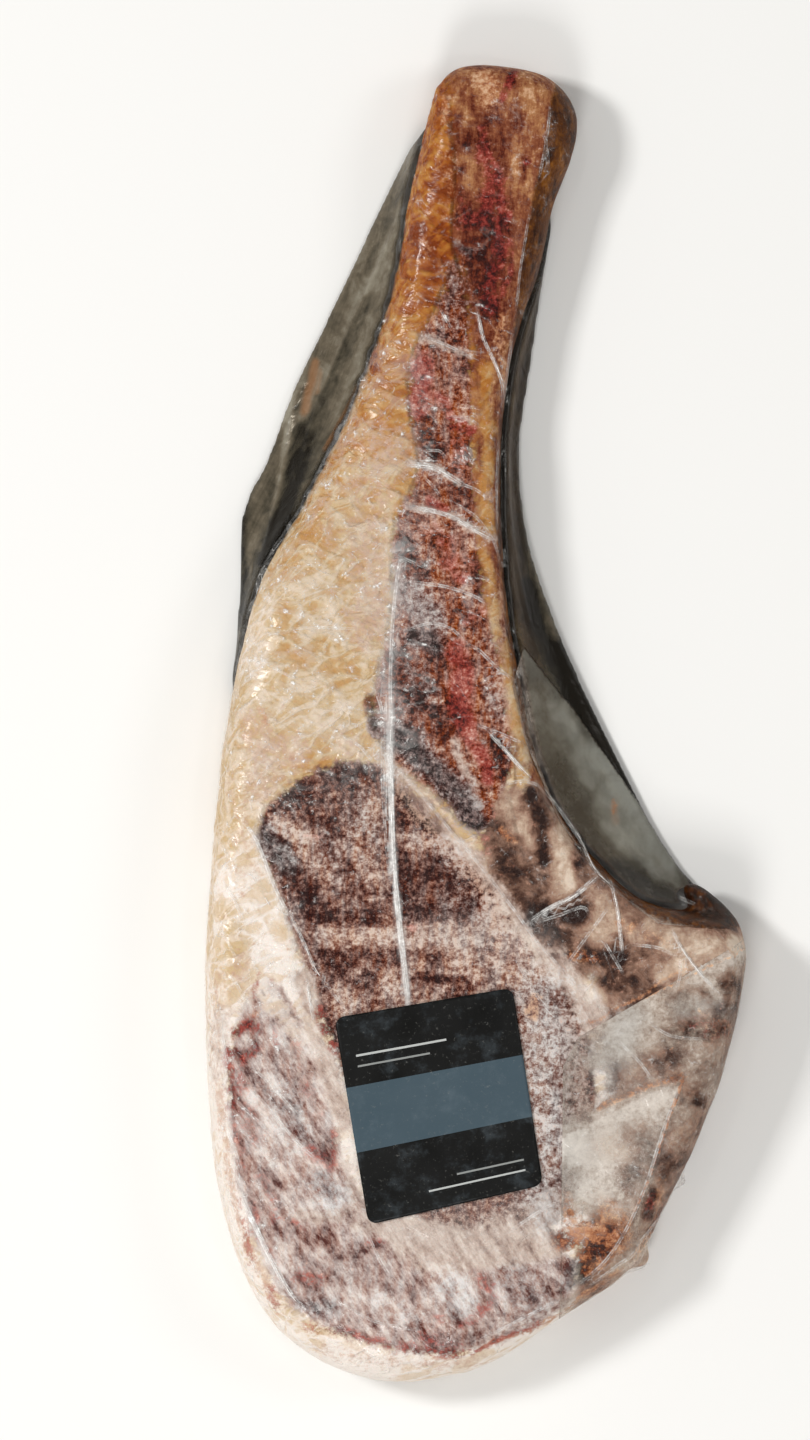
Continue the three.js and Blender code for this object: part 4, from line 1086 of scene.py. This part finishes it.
def vacuum_film():
    """Clear polyamide film: a thin mirror over the meat, whitened where it is crinkled or folded, partly with
    painted glints and highlights, and smoky where it spans free."""
    material, node = new_material("clear_vacuum_film")
    place = node("ShaderNodeTexCoord", out="Object")
    fields = {name: node("ShaderNodeAttribute", attribute_name=name, out="Fac")
              for name in ("web", "gap", "cross", "slant", "soft", "crease_offset", "crease", "haze_and_highlight", "brown",
                           "shade", "flap", "rust")}
    web = fields["web"]
    cloud = node("ShaderNodeTexNoise", {"Vector": place, "Scale": rate(7), "Detail": 4.0, "Distortion": 0.8})
    speck = node("ShaderNodeTexNoise", {"Vector": place, "Scale": rate(2.2), "Detail": 3.0, "Roughness": 0.7})
    sparse = node("ShaderNodeMapRange", [cloud, 0.42, 0.68], **SMOOTH)
    bright = node("ShaderNodeMapRange", [speck, 0.52, 0.68], **SMOOTH)

    # Crinkles across the rib, slanting ones over the rounded side, and soft folds over the fat, whitened in
    # thin lines and glints that are partly the film's own whitening and partly painted highlights
    across = weighted(node, 0.0, (crinkled(node, place, 9, -24, 2.6, 0.04), fields["cross"], 1.0))
    slanted = weighted(node, 0.0, (crinkled(node, place, 8, -55, 3.0, 0.05), fields["slant"], 1.0))
    folds = weighted(node, 0.0, (crinkled(node, place, 8, -8, 1.7, 0.11), fields["soft"], 1.0))
    lines = node("ShaderNodeMath", [across, slanted], operation="MAXIMUM")
    wrinkled = weighted(node, 0.25, (fields["soft"], 0.75), (fields["slant"], 0.6))
    glints = crinkled(node, place, 6, 20, 1.5, 0.024)
    whitening_and_glints = weighted(node, 0.0, (lines, sparse, bright, 0.7), (lines, sparse, 0.17), (folds, 0.13),
                     (folds, folds, bright, sparse, 0.75), (glints, bright, wrinkled, 0.6))

    # A crease is a narrow flat fold, whitish where the film lies double and brightest on its two edges as
    # painted highlights, and here and there it dies away
    offset = node("ShaderNodeMath", [fields["crease_offset"]], operation="ABSOLUTE")
    inner = node("ShaderNodeMapRange", [offset, 0.25, 0.8, 1.0, 0.0], **SMOOTH)
    edge = node("ShaderNodeMath", [offset, 0.5, 0.2], operation="COMPARE")
    profile = weighted(node, 0.0, (inner, 0.3), (edge, 0.35))
    patchy = node("ShaderNodeMapRange", [speck, 0.35, 0.62, 0.25, 1.0], **SMOOTH)
    bound = node("ShaderNodeMapRange", [web, 0.0, 1.0, 1.0, 0.35])
    crease = weighted(node, 0.0, (profile, fields["crease"], patchy, bound, 1.0))
    height = weighted(node, 0.0, (lines, 0.4), (folds, 0.8), (cloud, 0.9))
    relief = node("ShaderNodeBump", {"Strength": 1.0, "Distance": 0.55 * MM, "Height": height})

    smoke = film_smoke(node, place, fields, cloud, speck)
    webbed = node("ShaderNodeMapRange", [web, 0.03, 0.3], **SMOOTH)
    colour = node("ShaderNodeMix", {0: webbed, 6: linear("#F6F4F0"), 7: smoke}, **COLOUR)

    haze_and_glints = weighted(node, 0.014, (whitening_and_glints, 1.0), (crease, 1.0), (fields["haze_and_highlight"], 0.5), (fields["soft"], 0.03))
    solid = weighted(node, 0.0, (web, 0.92), (fields["flap"], -0.62))
    alpha = node("ShaderNodeMath", [haze_and_glints, solid], operation="MAXIMUM")
    milky_and_glinting = weighted(node, 0.0, (whitening_and_glints, 6.0), (crease, 5.0), (fields["haze_and_highlight"], 3.0), (fields["soft"], 0.4),
                     (webbed, 0.9))
    mirror = node("ShaderNodeMapRange", [milky_and_glinting, 0.0, 1.0, 1.0, 0.0])
    surface = node("ShaderNodeBsdfPrincipled", {
        "Base Color": colour, "Metallic": mirror, "Roughness": 0.23, "Normal": relief, "Alpha": alpha,
        "IOR": 1.4, "Specular IOR Level": 0.15,
    })
    node("ShaderNodeOutputMaterial", {"Surface": surface})
    return material


def folded_film():
    """Film pressed double in a sharp crease: whitish, partly its own whitening and partly a painted
    highlight, bright where it faces the light, and broken up.
    """
    material, node = new_material("creased_double_film")
    place = node("ShaderNodeTexCoord", out="Object")
    worn = node("ShaderNodeTexNoise", {"Vector": place, "Scale": rate(3.5), "Detail": 3.0, "Roughness": 0.7})
    alpha = node("ShaderNodeMapRange", [worn, 0.36, 0.62, 0.1, 0.85], **SMOOTH)
    surface = node("ShaderNodeBsdfPrincipled", {
        "Base Color": linear("#FBF9F5"), "Metallic": 0.1, "Roughness": 0.2, "Alpha": alpha,
    })
    node("ShaderNodeOutputMaterial", {"Surface": surface})
    return material


def waxed_sheet():
    """Bone guard of waxed fibre sheet: cloudy, see-through where it is wet, and less clear at its edges."""
    material, node = new_material("waxed_bone_guard_sheet")
    place = node("ShaderNodeTexCoord", out="Object")
    flap, border, cloud, mark, tone, cool = (
        node("ShaderNodeAttribute", attribute_name=name, out="Fac")
        for name in ("flap", "border", "cloud", "mark", "tone", "cool"))
    wet = node("ShaderNodeTexNoise", {"Vector": place, "Scale": rate(9), "Detail": 5.0, "Distortion": 0.6})
    grain = node("ShaderNodeTexNoise", {"Vector": place, "Scale": rate(2.0), "Detail": 5.0, "Roughness": 0.8})
    shade = weighted(node, -0.9, (wet, 0.9), (grain, 1.7), (cloud, 0.2), (tone, 0.35))
    pale = node("ShaderNodeValToRGB", [shade], stops=[(0.1, "#856A5C"), (0.5, "#C6B3A2"), (0.9, "#EADFD3")])
    hazy = node("ShaderNodeMix", {0: 0.75, 6: pale, 7: linear("#9C9F9C")}, **COLOUR)
    pale = node("ShaderNodeMix", {0: cool, 6: pale, 7: hazy}, **COLOUR)
    over = weighted(node, -0.06, (wet, 0.8), (grain, 0.3), (cloud, 0.4))
    grey = node("ShaderNodeValToRGB", [over], stops=[(0.05, "#3B3124"), (0.4, "#716C5E"), (0.9, "#B9B8AC")])
    tan = node("ShaderNodeValToRGB", [shade], stops=[(0.15, "#6C3018"), (0.5, "#B0744B"), (0.85, "#DEB691")])
    colour = node("ShaderNodeMix", {0: flap, 6: pale, 7: grey}, **COLOUR)
    broken = weighted(node, -0.9, (mark, 1.0), (grain, 1.8))
    marked = node("ShaderNodeMapRange", [broken, 0.35, 0.75], **SMOOTH)
    colour = node("ShaderNodeMix", {0: marked, 6: colour, 7: tan}, **COLOUR)
    rim = node("ShaderNodeMapRange", [border, 0.0, 1.2, 0.2, 0.0], **SMOOTH)
    alpha = weighted(node, -0.5, (wet, 0.5), (grain, 0.8), (cloud, 0.5), (marked, 0.6), (flap, 0.9),
                     (rim, 1.0), (tone, 0.12))
    relief = node("ShaderNodeBump", {"Strength": 0.4, "Distance": 0.4 * MM, "Height": wet})
    surface = node("ShaderNodeBsdfPrincipled", {
        "Base Color": colour, "Roughness": 0.45, "Normal": relief, "Alpha": alpha,
    })
    node("ShaderNodeOutputMaterial", {"Surface": surface})
    return material


def printed_label(ground, rules):
    """Satin black polypropylene label with a slate band and thin pale rules, and a film of fine dust."""
    material, node = new_material("satin_printed_label")
    place = node("ShaderNodeTexCoord", out="Object")
    across, up = (node("ShaderNodeAttribute", attribute_name=name, out="Fac") for name in ("across", "up"))
    dust = node("ShaderNodeTexNoise", {"Vector": place, "Scale": rate(1.4), "Detail": 4.0, "Roughness": 0.8})
    smear = node("ShaderNodeTexNoise", {"Vector": place, "Scale": rate(14), "Detail": 3.0})
    colour = linear(ground)
    for low, high, left, right, code in rules:
        height = node("ShaderNodeMath", [up, (low + high) / 2, (high - low) / 2], operation="COMPARE")
        width = node("ShaderNodeMath", [across, (left + right) / 2, (right - left) / 2], operation="COMPARE")
        mask = node("ShaderNodeMath", [height, width], operation="MULTIPLY")
        colour = node("ShaderNodeMix", {0: mask, 6: colour, 7: linear(code)}, **COLOUR)
    # Patches, partly wear and partly a painted bluish sheen
    worn = node("ShaderNodeTexNoise", {"Vector": place, "Scale": rate(9), "Detail": 5.0, "Roughness": 0.7})
    worn = node("ShaderNodeMapRange", [worn, 0.5, 0.75, 0.0, 0.16], **SMOOTH)
    colour = node("ShaderNodeMix", {0: worn, 6: colour, 7: linear("#76828A")}, **COLOUR)
    specks = node("ShaderNodeMapRange", [dust, 0.58, 0.78, 0.0, 0.35], **SMOOTH)
    colour = node("ShaderNodeMix", {0: specks, 6: colour, 7: linear("#9B9A94")}, **COLOUR)
    roughness = node("ShaderNodeMapRange", [smear, 0.3, 0.7, 0.28, 0.5])
    relief = node("ShaderNodeBump", {"Strength": 0.3, "Distance": 0.3 * MM, "Height": smear})
    surface = node("ShaderNodeBsdfPrincipled", {
        "Base Color": colour, "Roughness": roughness, "Normal": relief, "Specular IOR Level": 0.2,
    })
    node("ShaderNodeOutputMaterial", {"Surface": surface})
    return material


def board_paint(colour):
    """Matt pale board."""
    material, node = new_material("matt_pale_board")
    surface = node("ShaderNodeBsdfPrincipled", {"Base Color": linear(colour), "Roughness": 0.9})
    node("ShaderNodeOutputMaterial", {"Surface": surface})
    return material


# Pieces

def food_skin(sizes):
    """Meat, fat and bone as one even skin, rounded a little, with bits of torn tissue at the chine."""
    work = bmesh.new()
    work.from_mesh(copy_of(FOOD_NODES, "food"))
    for middle, half, turn in TORN_LUMPS:
        place = Matrix.Scale(MM, 4) @ Matrix.Translation(middle)
        place @= Matrix.Rotation(math.radians(turn), 4, "Z") @ Matrix.Diagonal((*half, 1))
        bmesh.ops.create_icosphere(work, subdivisions=3, radius=1, matrix=place)
    skin = voxelled(mesh_from(work, "food"), sizes.grid)
    relax(skin, sizes.rounding)
    return skin


def region_fields(points):
    """For each region, the distance in millimetres to its border, positive inside it."""
    found = {}
    for region, node in REGIONS.items():
        mesh = copy_of([node], "region")
        found[region] = distances(tree_of(mesh), points)
        bpy.data.meshes.remove(mesh)
    fields = {}
    for region in REGIONS:
        others = np.min([found[other] for other in REGIONS if other != region], axis=0)
        fields[region] = np.clip(others - found[region], -FIELD_LIMIT, FIELD_LIMIT)
    return fields


def paint_food(mesh):
    """Stores where each region and each stain, streak and patch lies, and raises the relief with it."""
    points = points_of(mesh)
    places = points[:, :2]
    wander = 1.2 * np.stack([bumps(points, 7, 11), bumps(points, 7, 12)], axis=1)
    fields = region_fields(points)
    for name, strokes in {"tone": TONE_STROKES, **FOOD_STROKES}.items():
        fields[name] = stroke_field(places + wander, strokes)
    edge, _ = line_distance(places, smooth_line(FACE_EDGE))
    fields["side"] = np.clip(np.where(places[:, 1] < SIDE_END, -6, -edge), -FIELD_LIMIT, FIELD_LIMIT)
    fields["warm"] = between(places[:, 1], WARMTH) + 0.4 * stroke_field(places + wander, AMBER_STROKES)
    turned = points @ np.array([[0.5, 0.18, 0], [-0.34, 0.94, 0], [0, 0, 1]])
    peel = 0.6 * bumps(turned, 3.2, 5) + 0.4 * bumps(turned, 2.1, 6)
    fields["lump"] = peel
    for name, values in fields.items():
        put(mesh, name, values)
    fatty = ramp(fields["fat"], -0.5, 1.5)
    rise = 0.28 * bumps(points, 10, 3) + 0.14 * bumps(points, 4.2, 4)
    rise += fatty * between(points[:, 1], PEBBLES) * peel
    rise += 0.3 * np.clip(fields["seam"], 0, 1)
    move_points(mesh, points + normals_of(mesh) * rise[:, None])


def film_skin(sizes, food):
    """The bag as one closed skin: the meat's own skin moved out, joined to the bag's free strips."""
    puffed = food.copy()
    move_points(puffed, points_of(puffed) + FILM_START * normals_of(puffed))
    work = bmesh.new()
    work.from_mesh(puffed)
    work.from_mesh(copy_of(["vacuum_bag"], "bag"))
    skin = voxelled(mesh_from(work, "film"), sizes.grid)
    relax(skin, FILM_ROUNDING)
    return skin


def crease_fields(places, facing_up):
    """For each place on the film: how far it lies across the nearest crease, in widths, and its strength."""
    closest = np.full(len(places), 9.0)
    offset = np.full(len(places), 9.0)
    strength = np.zeros(len(places))
    for width, *knots in CREASES + WEB_FOLDS:
        signed, share = line_distance(places, smooth_line(knots))
        nearer = np.abs(signed) < closest
        closest[nearer] = np.abs(signed)[nearer]
        offset[nearer] = (signed / (CREASE_MARGIN + width))[nearer]
        ends = np.clip(5 * np.minimum(share, 1 - share) + 0.15, 0, 1)
        reach = 1 - ramp(np.abs(signed), 1.5, 3.5)
        strength[nearer] = (ends * reach * np.clip(0.35 + width, 0, 1))[nearer]
    return offset, strength * facing_up


def kept_clear(points, tree):
    """Moves points that are in the mesh of the tree, or too close to it, out to the film's clearance."""
    for i, point in enumerate(points):
        spot, out, _, far = tree.find_nearest(Vector(point))
        if far < CLEARANCE_REACH and (Vector(point) - spot).dot(out) < FILM_CLEARANCE:
            points[i] = spot + FILM_CLEARANCE * out


def shaped_film(skin, food, sizes):
    """Draws the film onto the meat and crinkles it, and stores how free and how creased it is."""
    tree = tree_of(food)
    points = points_of(skin)
    normals = normals_of(skin)
    gap = distances(tree, points)
    web = ramp(gap, *FREE_FILM)
    places = points[:, :2]
    rise = 0.24 * wrinkles(points, 9, 21) + 0.14 * wrinkles(points, 4.5, 31) - 0.1
    rise *= (1 - web) * ramp(points[:, 2], 2, 8) * between(points[:, 1], CRINKLES)
    rise -= (FILM_START - sizes.cling) * (1 - web) * ramp(points[:, 2], 4, 12)
    offset, strength = crease_fields(places, normals[:, 2] > 0.2)
    rise += 0.5 * strength * (1 - ramp(np.abs(offset), 0.2, 1.6))
    points = points + normals * rise[:, None]
    kept_clear(points, tree)
    for middle, out, reach, far in CORNERS:
        share = np.clip(1 - np.linalg.norm(points[:, :2] - middle, axis=1) / reach, 0, 1)
        points[:, :2] += far * share[:, None] ** 1.3 * np.array(out)
    points[:, 2] = np.maximum(points[:, 2], 0.0)
    move_points(skin, points)
    for name, values in (("web", web), ("gap", gap), ("crease_offset", offset), ("crease", strength)):
        put(skin, name, values)
    paint_film(skin, places, points, gap, web)


def paint_film(skin, places, points, gap, web):
    """Stores where the film is crinkled and which way, where it is hazy or has painted highlights, where it
    has painted shade, and where it is brown or rusty.
    """
    right = ramp(places[:, 0], 0, 5) * (places[:, 1] > -75)
    cross = ramp(places[:, 1], -15, 15) * (1 - 0.6 * ramp(places[:, 1], 130, 150))
    rounded = ramp(-places[:, 0], 52, 66) * (1 - ramp(places[:, 1], -20, 0))
    mid_fat = ramp(places[:, 1], -40, 0) * (1 - 0.7 * ramp(places[:, 1], 110, 140))
    put(skin, "cross", (1 - web) * cross)
    put(skin, "slant", (1 - web) * np.maximum(rounded, 0.3 * (places[:, 1] < -10)))
    put(skin, "soft", (1 - web) * mid_fat * ramp(-places[:, 0], 10, 26))
    put(skin, "haze_and_highlight", stroke_field(places, HAZE_AND_HIGHLIGHT_STROKES))
    torn = stroke_field(places + 0.8 * bumps(points, 4, 41)[:, None], TORN_STROKES)
    put(skin, "brown", np.maximum(right * (1 - ramp(gap, 6, 12)), np.clip(1.5 * torn, 0, 1)))
    left_shade = between(gap, LEFT_SHADE)
    left_shade += (0.5 - left_shade) * ramp(points[:, 1], 85, 115)
    shade = left_shade * (1 - right) + between(gap, RIGHT_SHADE) * right
    put(skin, "shade", shade + stroke_field(places, BAND_STROKES))
    put(skin, "rust", stroke_field(places + 0.5 * bumps(points, 3, 42)[:, None], RUST_STROKES))
    put(skin, "flap", within(places, FLAP_PATCH) * web)


def crease_lines(film):
    """The large creases as lines on the film, with the half-width of a ridge at each point."""
    spots, edges, widths = [], [], []
    for width, *knots in CREASES:
        if width < RIDGE_LEAST:
            continue
        line = smooth_line(knots, 1.0)
        first = len(spots)
        heights = tops(film, line)
        line, heights = line[~np.isnan(heights)], heights[~np.isnan(heights)]
        places = np.column_stack([line, heights])
        share = np.linspace(0, 1, len(line))
        uneven = 0.75 + 0.45 * bumps(places, 5, 41)
        spots += [tuple(place) for place in places * MM]
        widths += list(RIDGE_SHARE * width * MM * uneven * np.clip(np.sin(np.pi * share), 0.05, 1) ** 0.6)
        edges += [(i, i + 1) for i in range(first, len(spots) - 1)]
    mesh = bpy.data.meshes.new("crease_lines")
    mesh.from_pydata(spots, edges, [])
    put(mesh, "width", widths)
    return mesh


def ridge_nodes(material):
    """Geometry nodes that sweep a flattened round section along lines, as wide as the lines' own width."""
    tree = bpy.data.node_groups.new("film_ridges", "GeometryNodeTree")
    node = partial(add, tree)
    for name, way, kind in (("Lines", "INPUT", "Geometry"), ("Sides", "INPUT", "Int"),
                            ("Flatness", "INPUT", "Float"), ("Ridges", "OUTPUT", "Geometry")):
        tree.interface.new_socket(name, in_out=way, socket_type="NodeSocket" + kind)
    given = tree.nodes.new("NodeGroupInput").outputs
    width = node("GeometryNodeInputNamedAttribute", {"Name": "width"}, data_type="FLOAT")
    section = node("GeometryNodeCurvePrimitiveCircle", {"Resolution": given["Sides"], "Radius": 1.0})
    flat = node("ShaderNodeCombineXYZ", [1.0, given["Flatness"], 1.0])
    section = node("GeometryNodeTransform", {"Geometry": section, "Scale": flat})
    curve = node("GeometryNodeMeshToCurve", [given["Lines"]])
    curve = node("GeometryNodeSetCurveRadius", {"Curve": curve, "Radius": 1.0})
    ridge = node("GeometryNodeCurveToMesh", {"Curve": curve, "Profile Curve": section, "Scale": width,
                                             "Fill Caps": True})
    whole = node("GeometryNodeRealizeInstances", [ridge])
    done = node("GeometryNodeSetMaterial", {"Geometry": whole, "Material": material})
    node("NodeGroupOutput", [done])
    return tree


def cut_patch(mesh, corners):
    """A copy of the part of a mesh over a polygon of corners, with straight cut edges."""
    work = bmesh.new()
    work.from_mesh(mesh)
    for (ax, ay), (bx, by) in zip(corners, corners[1:] + corners[:1]):
        cut = Vector((ay - by, bx - ax, 0)).normalized()
        bmesh.ops.bisect_plane(work, geom=[*work.verts, *work.edges, *work.faces], dist=1e-5,
                               plane_co=Vector((ax, ay, 0)) * MM, plane_no=cut)
    middles = np.array([face.calc_center_median()[:] for face in work.faces]) / MM
    keep = within(middles[:, :2], corners)
    doomed = [face for face, kept in zip(work.faces, keep) if not kept]
    bmesh.ops.delete(work, geom=doomed, context="FACES")
    return work


def guard_patch(film, corners, lowest, is_flap):
    """One part of the guard, cut from the film and laid under it, with its clouds, marks and facets."""
    work = cut_patch(film, corners)
    doomed = [face for face in work.faces
              if face.calc_center_median().z < lowest * MM or (is_flap and face.normal.z < 0.15)]
    bmesh.ops.delete(work, geom=doomed, context="FACES")
    patch = mesh_from(work, "patch")
    points = points_of(patch)
    move_points(patch, points - FILM_CLEARANCE * normals_of(patch))
    places = points[:, :2]
    border = np.min([np.abs(line_distance(places, np.array([a, b], float))[0])
                     for a, b in zip(corners, corners[1:] + corners[:1])], axis=0)
    ragged = places + bumps(points, 6, 51)[:, None]
    facets = sum(paler * within(places, facet) for paler, facet in FACETS)
    put(patch, "flap", np.full(len(points), is_flap))
    put(patch, "border", border)
    put(patch, "cloud", stroke_field(ragged, CLOUD_STROKES))
    put(patch, "tone", stroke_field(ragged, TONE_STROKES) + facets)
    put(patch, "cool", 0.5 * stroke_field(ragged, GREY_STROKES) * (1 - is_flap))
    put(patch, "mark", stroke_field(places + 0.4 * bumps(points, 4, 52)[:, None], GUARD_MARKS))
    return patch


def rounded_grid(half, corner):
    """A flat grid of points about a millimetre apart with rounded corners, and its columns and rows."""
    columns, rows = (int(2 * side) + 1 for side in half)
    u, v = np.meshgrid(np.linspace(-half[0], half[0], columns), np.linspace(-half[1], half[1], rows))
    flat = np.stack([u.ravel(), v.ravel()], axis=1)
    inner = half - corner
    past = np.maximum(np.abs(flat) - inner, 0)
    reach = np.linalg.norm(past, axis=1)
    outside = (past.min(axis=1) > 0) & (reach > corner)
    shrink = np.where(outside, corner / np.maximum(reach, 1e-9), 1)
    return np.sign(flat) * (np.minimum(np.abs(flat), inner) + past * shrink[:, None]), columns, rows


def label_sheet(film, half, corner):
    """The label as one sheet over the film, whose points know their place in the print."""
    flat, columns, rows = rounded_grid(half, corner)
    across, up = (flat / half + 1).T[:, :, None] / 2
    bottom, top = ((1 - across) * left + across * right for left, right in np.array(LABEL_CORNERS))
    turned = (1 - up) * bottom + up * top
    heights = tops(film, turned)
    points = np.column_stack([turned, heights])
    faces = [(i, i + 1, i + 1 + columns, i + columns)
             for row in range(rows - 1) for i in range(row * columns, row * columns + columns - 1)]
    sheet = bpy.data.meshes.new("label")
    sheet.from_pydata([tuple(p) for p in points * MM], [], faces)
    relax(sheet, LABEL_ROUNDING)
    smooth = points_of(sheet)
    smooth[:, :2] = turned
    smooth[:, 2] = np.maximum(smooth[:, 2], heights) + LABEL_LIFT
    move_points(sheet, smooth)
    put(sheet, "across", flat[:, 0])
    put(sheet, "up", flat[:, 1])
    return sheet


def add_floor(context, colour):
    """A wide flat floor just below the pack, which is part of the stage."""
    corners = [(-1, -1), (1, -1), (1, 1), (-1, 1)]
    mesh = bpy.data.meshes.new("floor")
    mesh.from_pydata([(x * FLOOR_REACH, y * FLOOR_REACH, -FLOOR_GAP * MM) for x, y in corners], [],
                     [(0, 1, 2, 3)])
    mesh.materials.append(board_paint(colour))
    floor = bpy.data.objects.new("floor", mesh)
    context.collection.objects.link(floor)


def add_camera(context, distance):
    """A camera that looks straight down on the pack and takes in the photo's view."""
    lens = bpy.data.cameras.new("camera")
    lens.sensor_width = SENSOR
    lens.lens = SENSOR * distance / (VIEW_LENGTH * MM)
    lens.clip_end = 20
    camera = bpy.data.objects.new("camera", lens)
    camera.location = (VIEW_MIDDLE[0] * MM, VIEW_MIDDLE[1] * MM, distance)
    context.collection.objects.link(camera)
    context.scene.camera = camera


def add_lamp(context, name, place, size, power):
    """A square area lamp that faces the pack."""
    light = bpy.data.lights.new(name, "AREA")
    light.size = size
    light.energy = power
    lamp = bpy.data.objects.new(name, light)
    lamp.location = place
    lamp.rotation_euler = (-Vector(place)).to_track_quat("-Z", "Y").to_euler()
    context.collection.objects.link(lamp)


# Settings

class SteakSizes(bpy.types.PropertyGroup):
    """Sizes of the skins of the meat and the film"""
    grid: FloatProperty(name="Grid", description="Size of one square of the skins, in mm", default=1.3,
                        min=0.8)
    rounding: IntProperty(name="Rounding", description="Rounds of smoothing of the meat's skin", default=14)
    cling: FloatProperty(name="Cling", description="Gap between film and meat, in mm", default=0.5)


class LabelSizes(bpy.types.PropertyGroup):
    """Sizes and colours of the label"""
    width: FloatProperty(name="Width", description="Width of the label's print, in mm", default=59)
    height: FloatProperty(name="Height", description="Height of the label's print, in mm", default=67)
    corner: FloatProperty(name="Corner", description="Radius of its corners, in mm", default=3.2)
    thickness: FloatProperty(name="Thickness", description="Thickness of the label, in mm", default=0.2)
    ground: StringProperty(name="Label colour", description="sRGB hex colour of the label", default="#0A0A09")
    band: StringProperty(name="Band colour", description="sRGB hex colour of its band", default="#42525B")


class StageSizes(bpy.types.PropertyGroup):
    """The camera's height and the floor's colour"""
    distance: FloatProperty(name="Camera height", description="Height of the camera over the floor",
                            default=3.0, unit="LENGTH")
    floor: StringProperty(name="Floor colour", description="sRGB hex colour of the floor", default="#F2F1EE")


# Operators, one for each piece

class STEAK_OT_meat(bpy.types.Operator):
    """Meat, fat and bone as one skin in the place of their six solids"""
    bl_idname = "steak.meat"
    bl_label = "Meat and bone"

    def execute(self, context):
        skin = food_skin(context.scene.steak)
        paint_food(skin)
        show(skin, "steak", raw_beef(), "muscle", *FOOD_NODES)
        return {"FINISHED"}


class STEAK_OT_film(bpy.types.Operator):
    """The clear vacuum film, all round the meat and free beside the rib"""
    bl_idname = "steak.film"
    bl_label = "Vacuum film"

    def execute(self, context):
        food = bpy.data.objects["steak"].data
        skin = film_skin(context.scene.steak, food)
        shaped_film(skin, food, context.scene.steak)
        show(skin, "vacuum_film", vacuum_film(), "film", "vacuum_bag")
        return {"FINISHED"}


class STEAK_OT_creases(bpy.types.Operator):
    """Sharp creases of the film, as thin ridges that follow listed lines over it"""
    bl_idname = "steak.creases"
    bl_label = "Film creases"

    def execute(self, context):
        lines = crease_lines(tree_of(bpy.data.objects["vacuum_film"].data))
        material = folded_film()
        ridges = changed(lines, "NODES", node_group=ridge_nodes(material),
                         inputs={"Sides": 8, "Flatness": 0.55})
        show(ridges, "film_creases", material, "film")
        return {"FINISHED"}


class STEAK_OT_guard(bpy.types.Operator):
    """The waxed sheet over the sawn chine, under the film, with its flap on the free film"""
    bl_idname = "steak.guard"
    bl_label = "Bone guard"

    def execute(self, context):
        film = bpy.data.objects["vacuum_film"].data
        whole = bmesh.new()
        for corners, lowest, is_flap in ((GUARD_PATCH, GUARD_LOWEST, 0.0), (FLAP_PATCH, 0.0, 1.0)):
            whole.from_mesh(guard_patch(film, corners, lowest, is_flap))
        sheet = changed(mesh_from(whole, "guard"), "SOLIDIFY", thickness=GUARD_THICKNESS * MM, offset=-1)
        show(sheet, "bone_guard_sheet", waxed_sheet(), "guard", "bone_guard")
        return {"FINISHED"}


class STEAK_OT_label(bpy.types.Operator):
    """The label, stuck on the film and bent to it"""
    bl_idname = "steak.label"
    bl_label = "Label"

    def execute(self, context):
        sizes = context.scene.steak_label
        half = np.array([sizes.width / 2, sizes.height / 2])
        film = tree_of(bpy.data.objects["vacuum_film"].data)
        sheet = label_sheet(film, half, sizes.corner)
        solid = changed(sheet, "SOLIDIFY", thickness=sizes.thickness * MM, offset=1)
        band = [sizes.height * share for share in LABEL_BAND]
        rules = [(*band, -half[0], half[0], sizes.band)]
        rules += [(low, high, left - half[0], half[0] - right, code)
                  for low, high, left, right, code in LABEL_RULES]
        show(solid, "pack_label", printed_label(sizes.ground, rules), "label", "label")
        return {"FINISHED"}


class STEAK_OT_stage(bpy.types.Operator):
    """Floor, lights and camera"""
    bl_idname = "steak.stage"
    bl_label = "Stage"

    def execute(self, context):
        stage = context.scene.steak_stage
        add_floor(context, stage.floor)
        add_camera(context, stage.distance)
        for lamp in LAMPS:
            add_lamp(context, *lamp)
        world = bpy.data.worlds.new("studio")
        world.use_nodes = True
        sky = world.node_tree.nodes["Background"].inputs
        sky["Color"].default_value, sky["Strength"].default_value = SKY
        context.scene.world = world
        context.scene.view_settings.view_transform = "Standard"
        return {"FINISHED"}


class STEAK_PT_panel(bpy.types.Panel):
    """Sizes and steps of the steak in its pack"""
    bl_label = "Steak"
    bl_idname = "STEAK_PT_panel"
    bl_space_type = "VIEW_3D"
    bl_region_type = "UI"
    bl_category = "Steak"

    def draw(self, context):
        for settings in (context.scene.steak, context.scene.steak_label, context.scene.steak_stage):
            for name in settings.__annotations__:
                self.layout.prop(settings, name)
        for operator in OPERATORS:
            self.layout.operator(operator.bl_idname)


OPERATORS = (STEAK_OT_meat, STEAK_OT_film, STEAK_OT_creases, STEAK_OT_guard, STEAK_OT_label,
             STEAK_OT_stage)
CLASSES = (SteakSizes, LabelSizes, StageSizes, *OPERATORS, STEAK_PT_panel)


def register():
    for one in CLASSES:
        bpy.utils.register_class(one)
    bpy.types.Scene.steak = PointerProperty(type=SteakSizes)
    bpy.types.Scene.steak_label = PointerProperty(type=LabelSizes)
    bpy.types.Scene.steak_stage = PointerProperty(type=StageSizes)


def unregister():
    del bpy.types.Scene.steak_stage
    del bpy.types.Scene.steak_label
    del bpy.types.Scene.steak
    for one in reversed(CLASSES):
        bpy.utils.unregister_class(one)


def main():
    register()
    bpy.ops.steak.meat()
    bpy.ops.steak.film()
    bpy.ops.steak.creases()
    bpy.ops.steak.guard()
    bpy.ops.steak.label()
    bpy.ops.steak.stage()


if __name__ == "__main__":
    main()
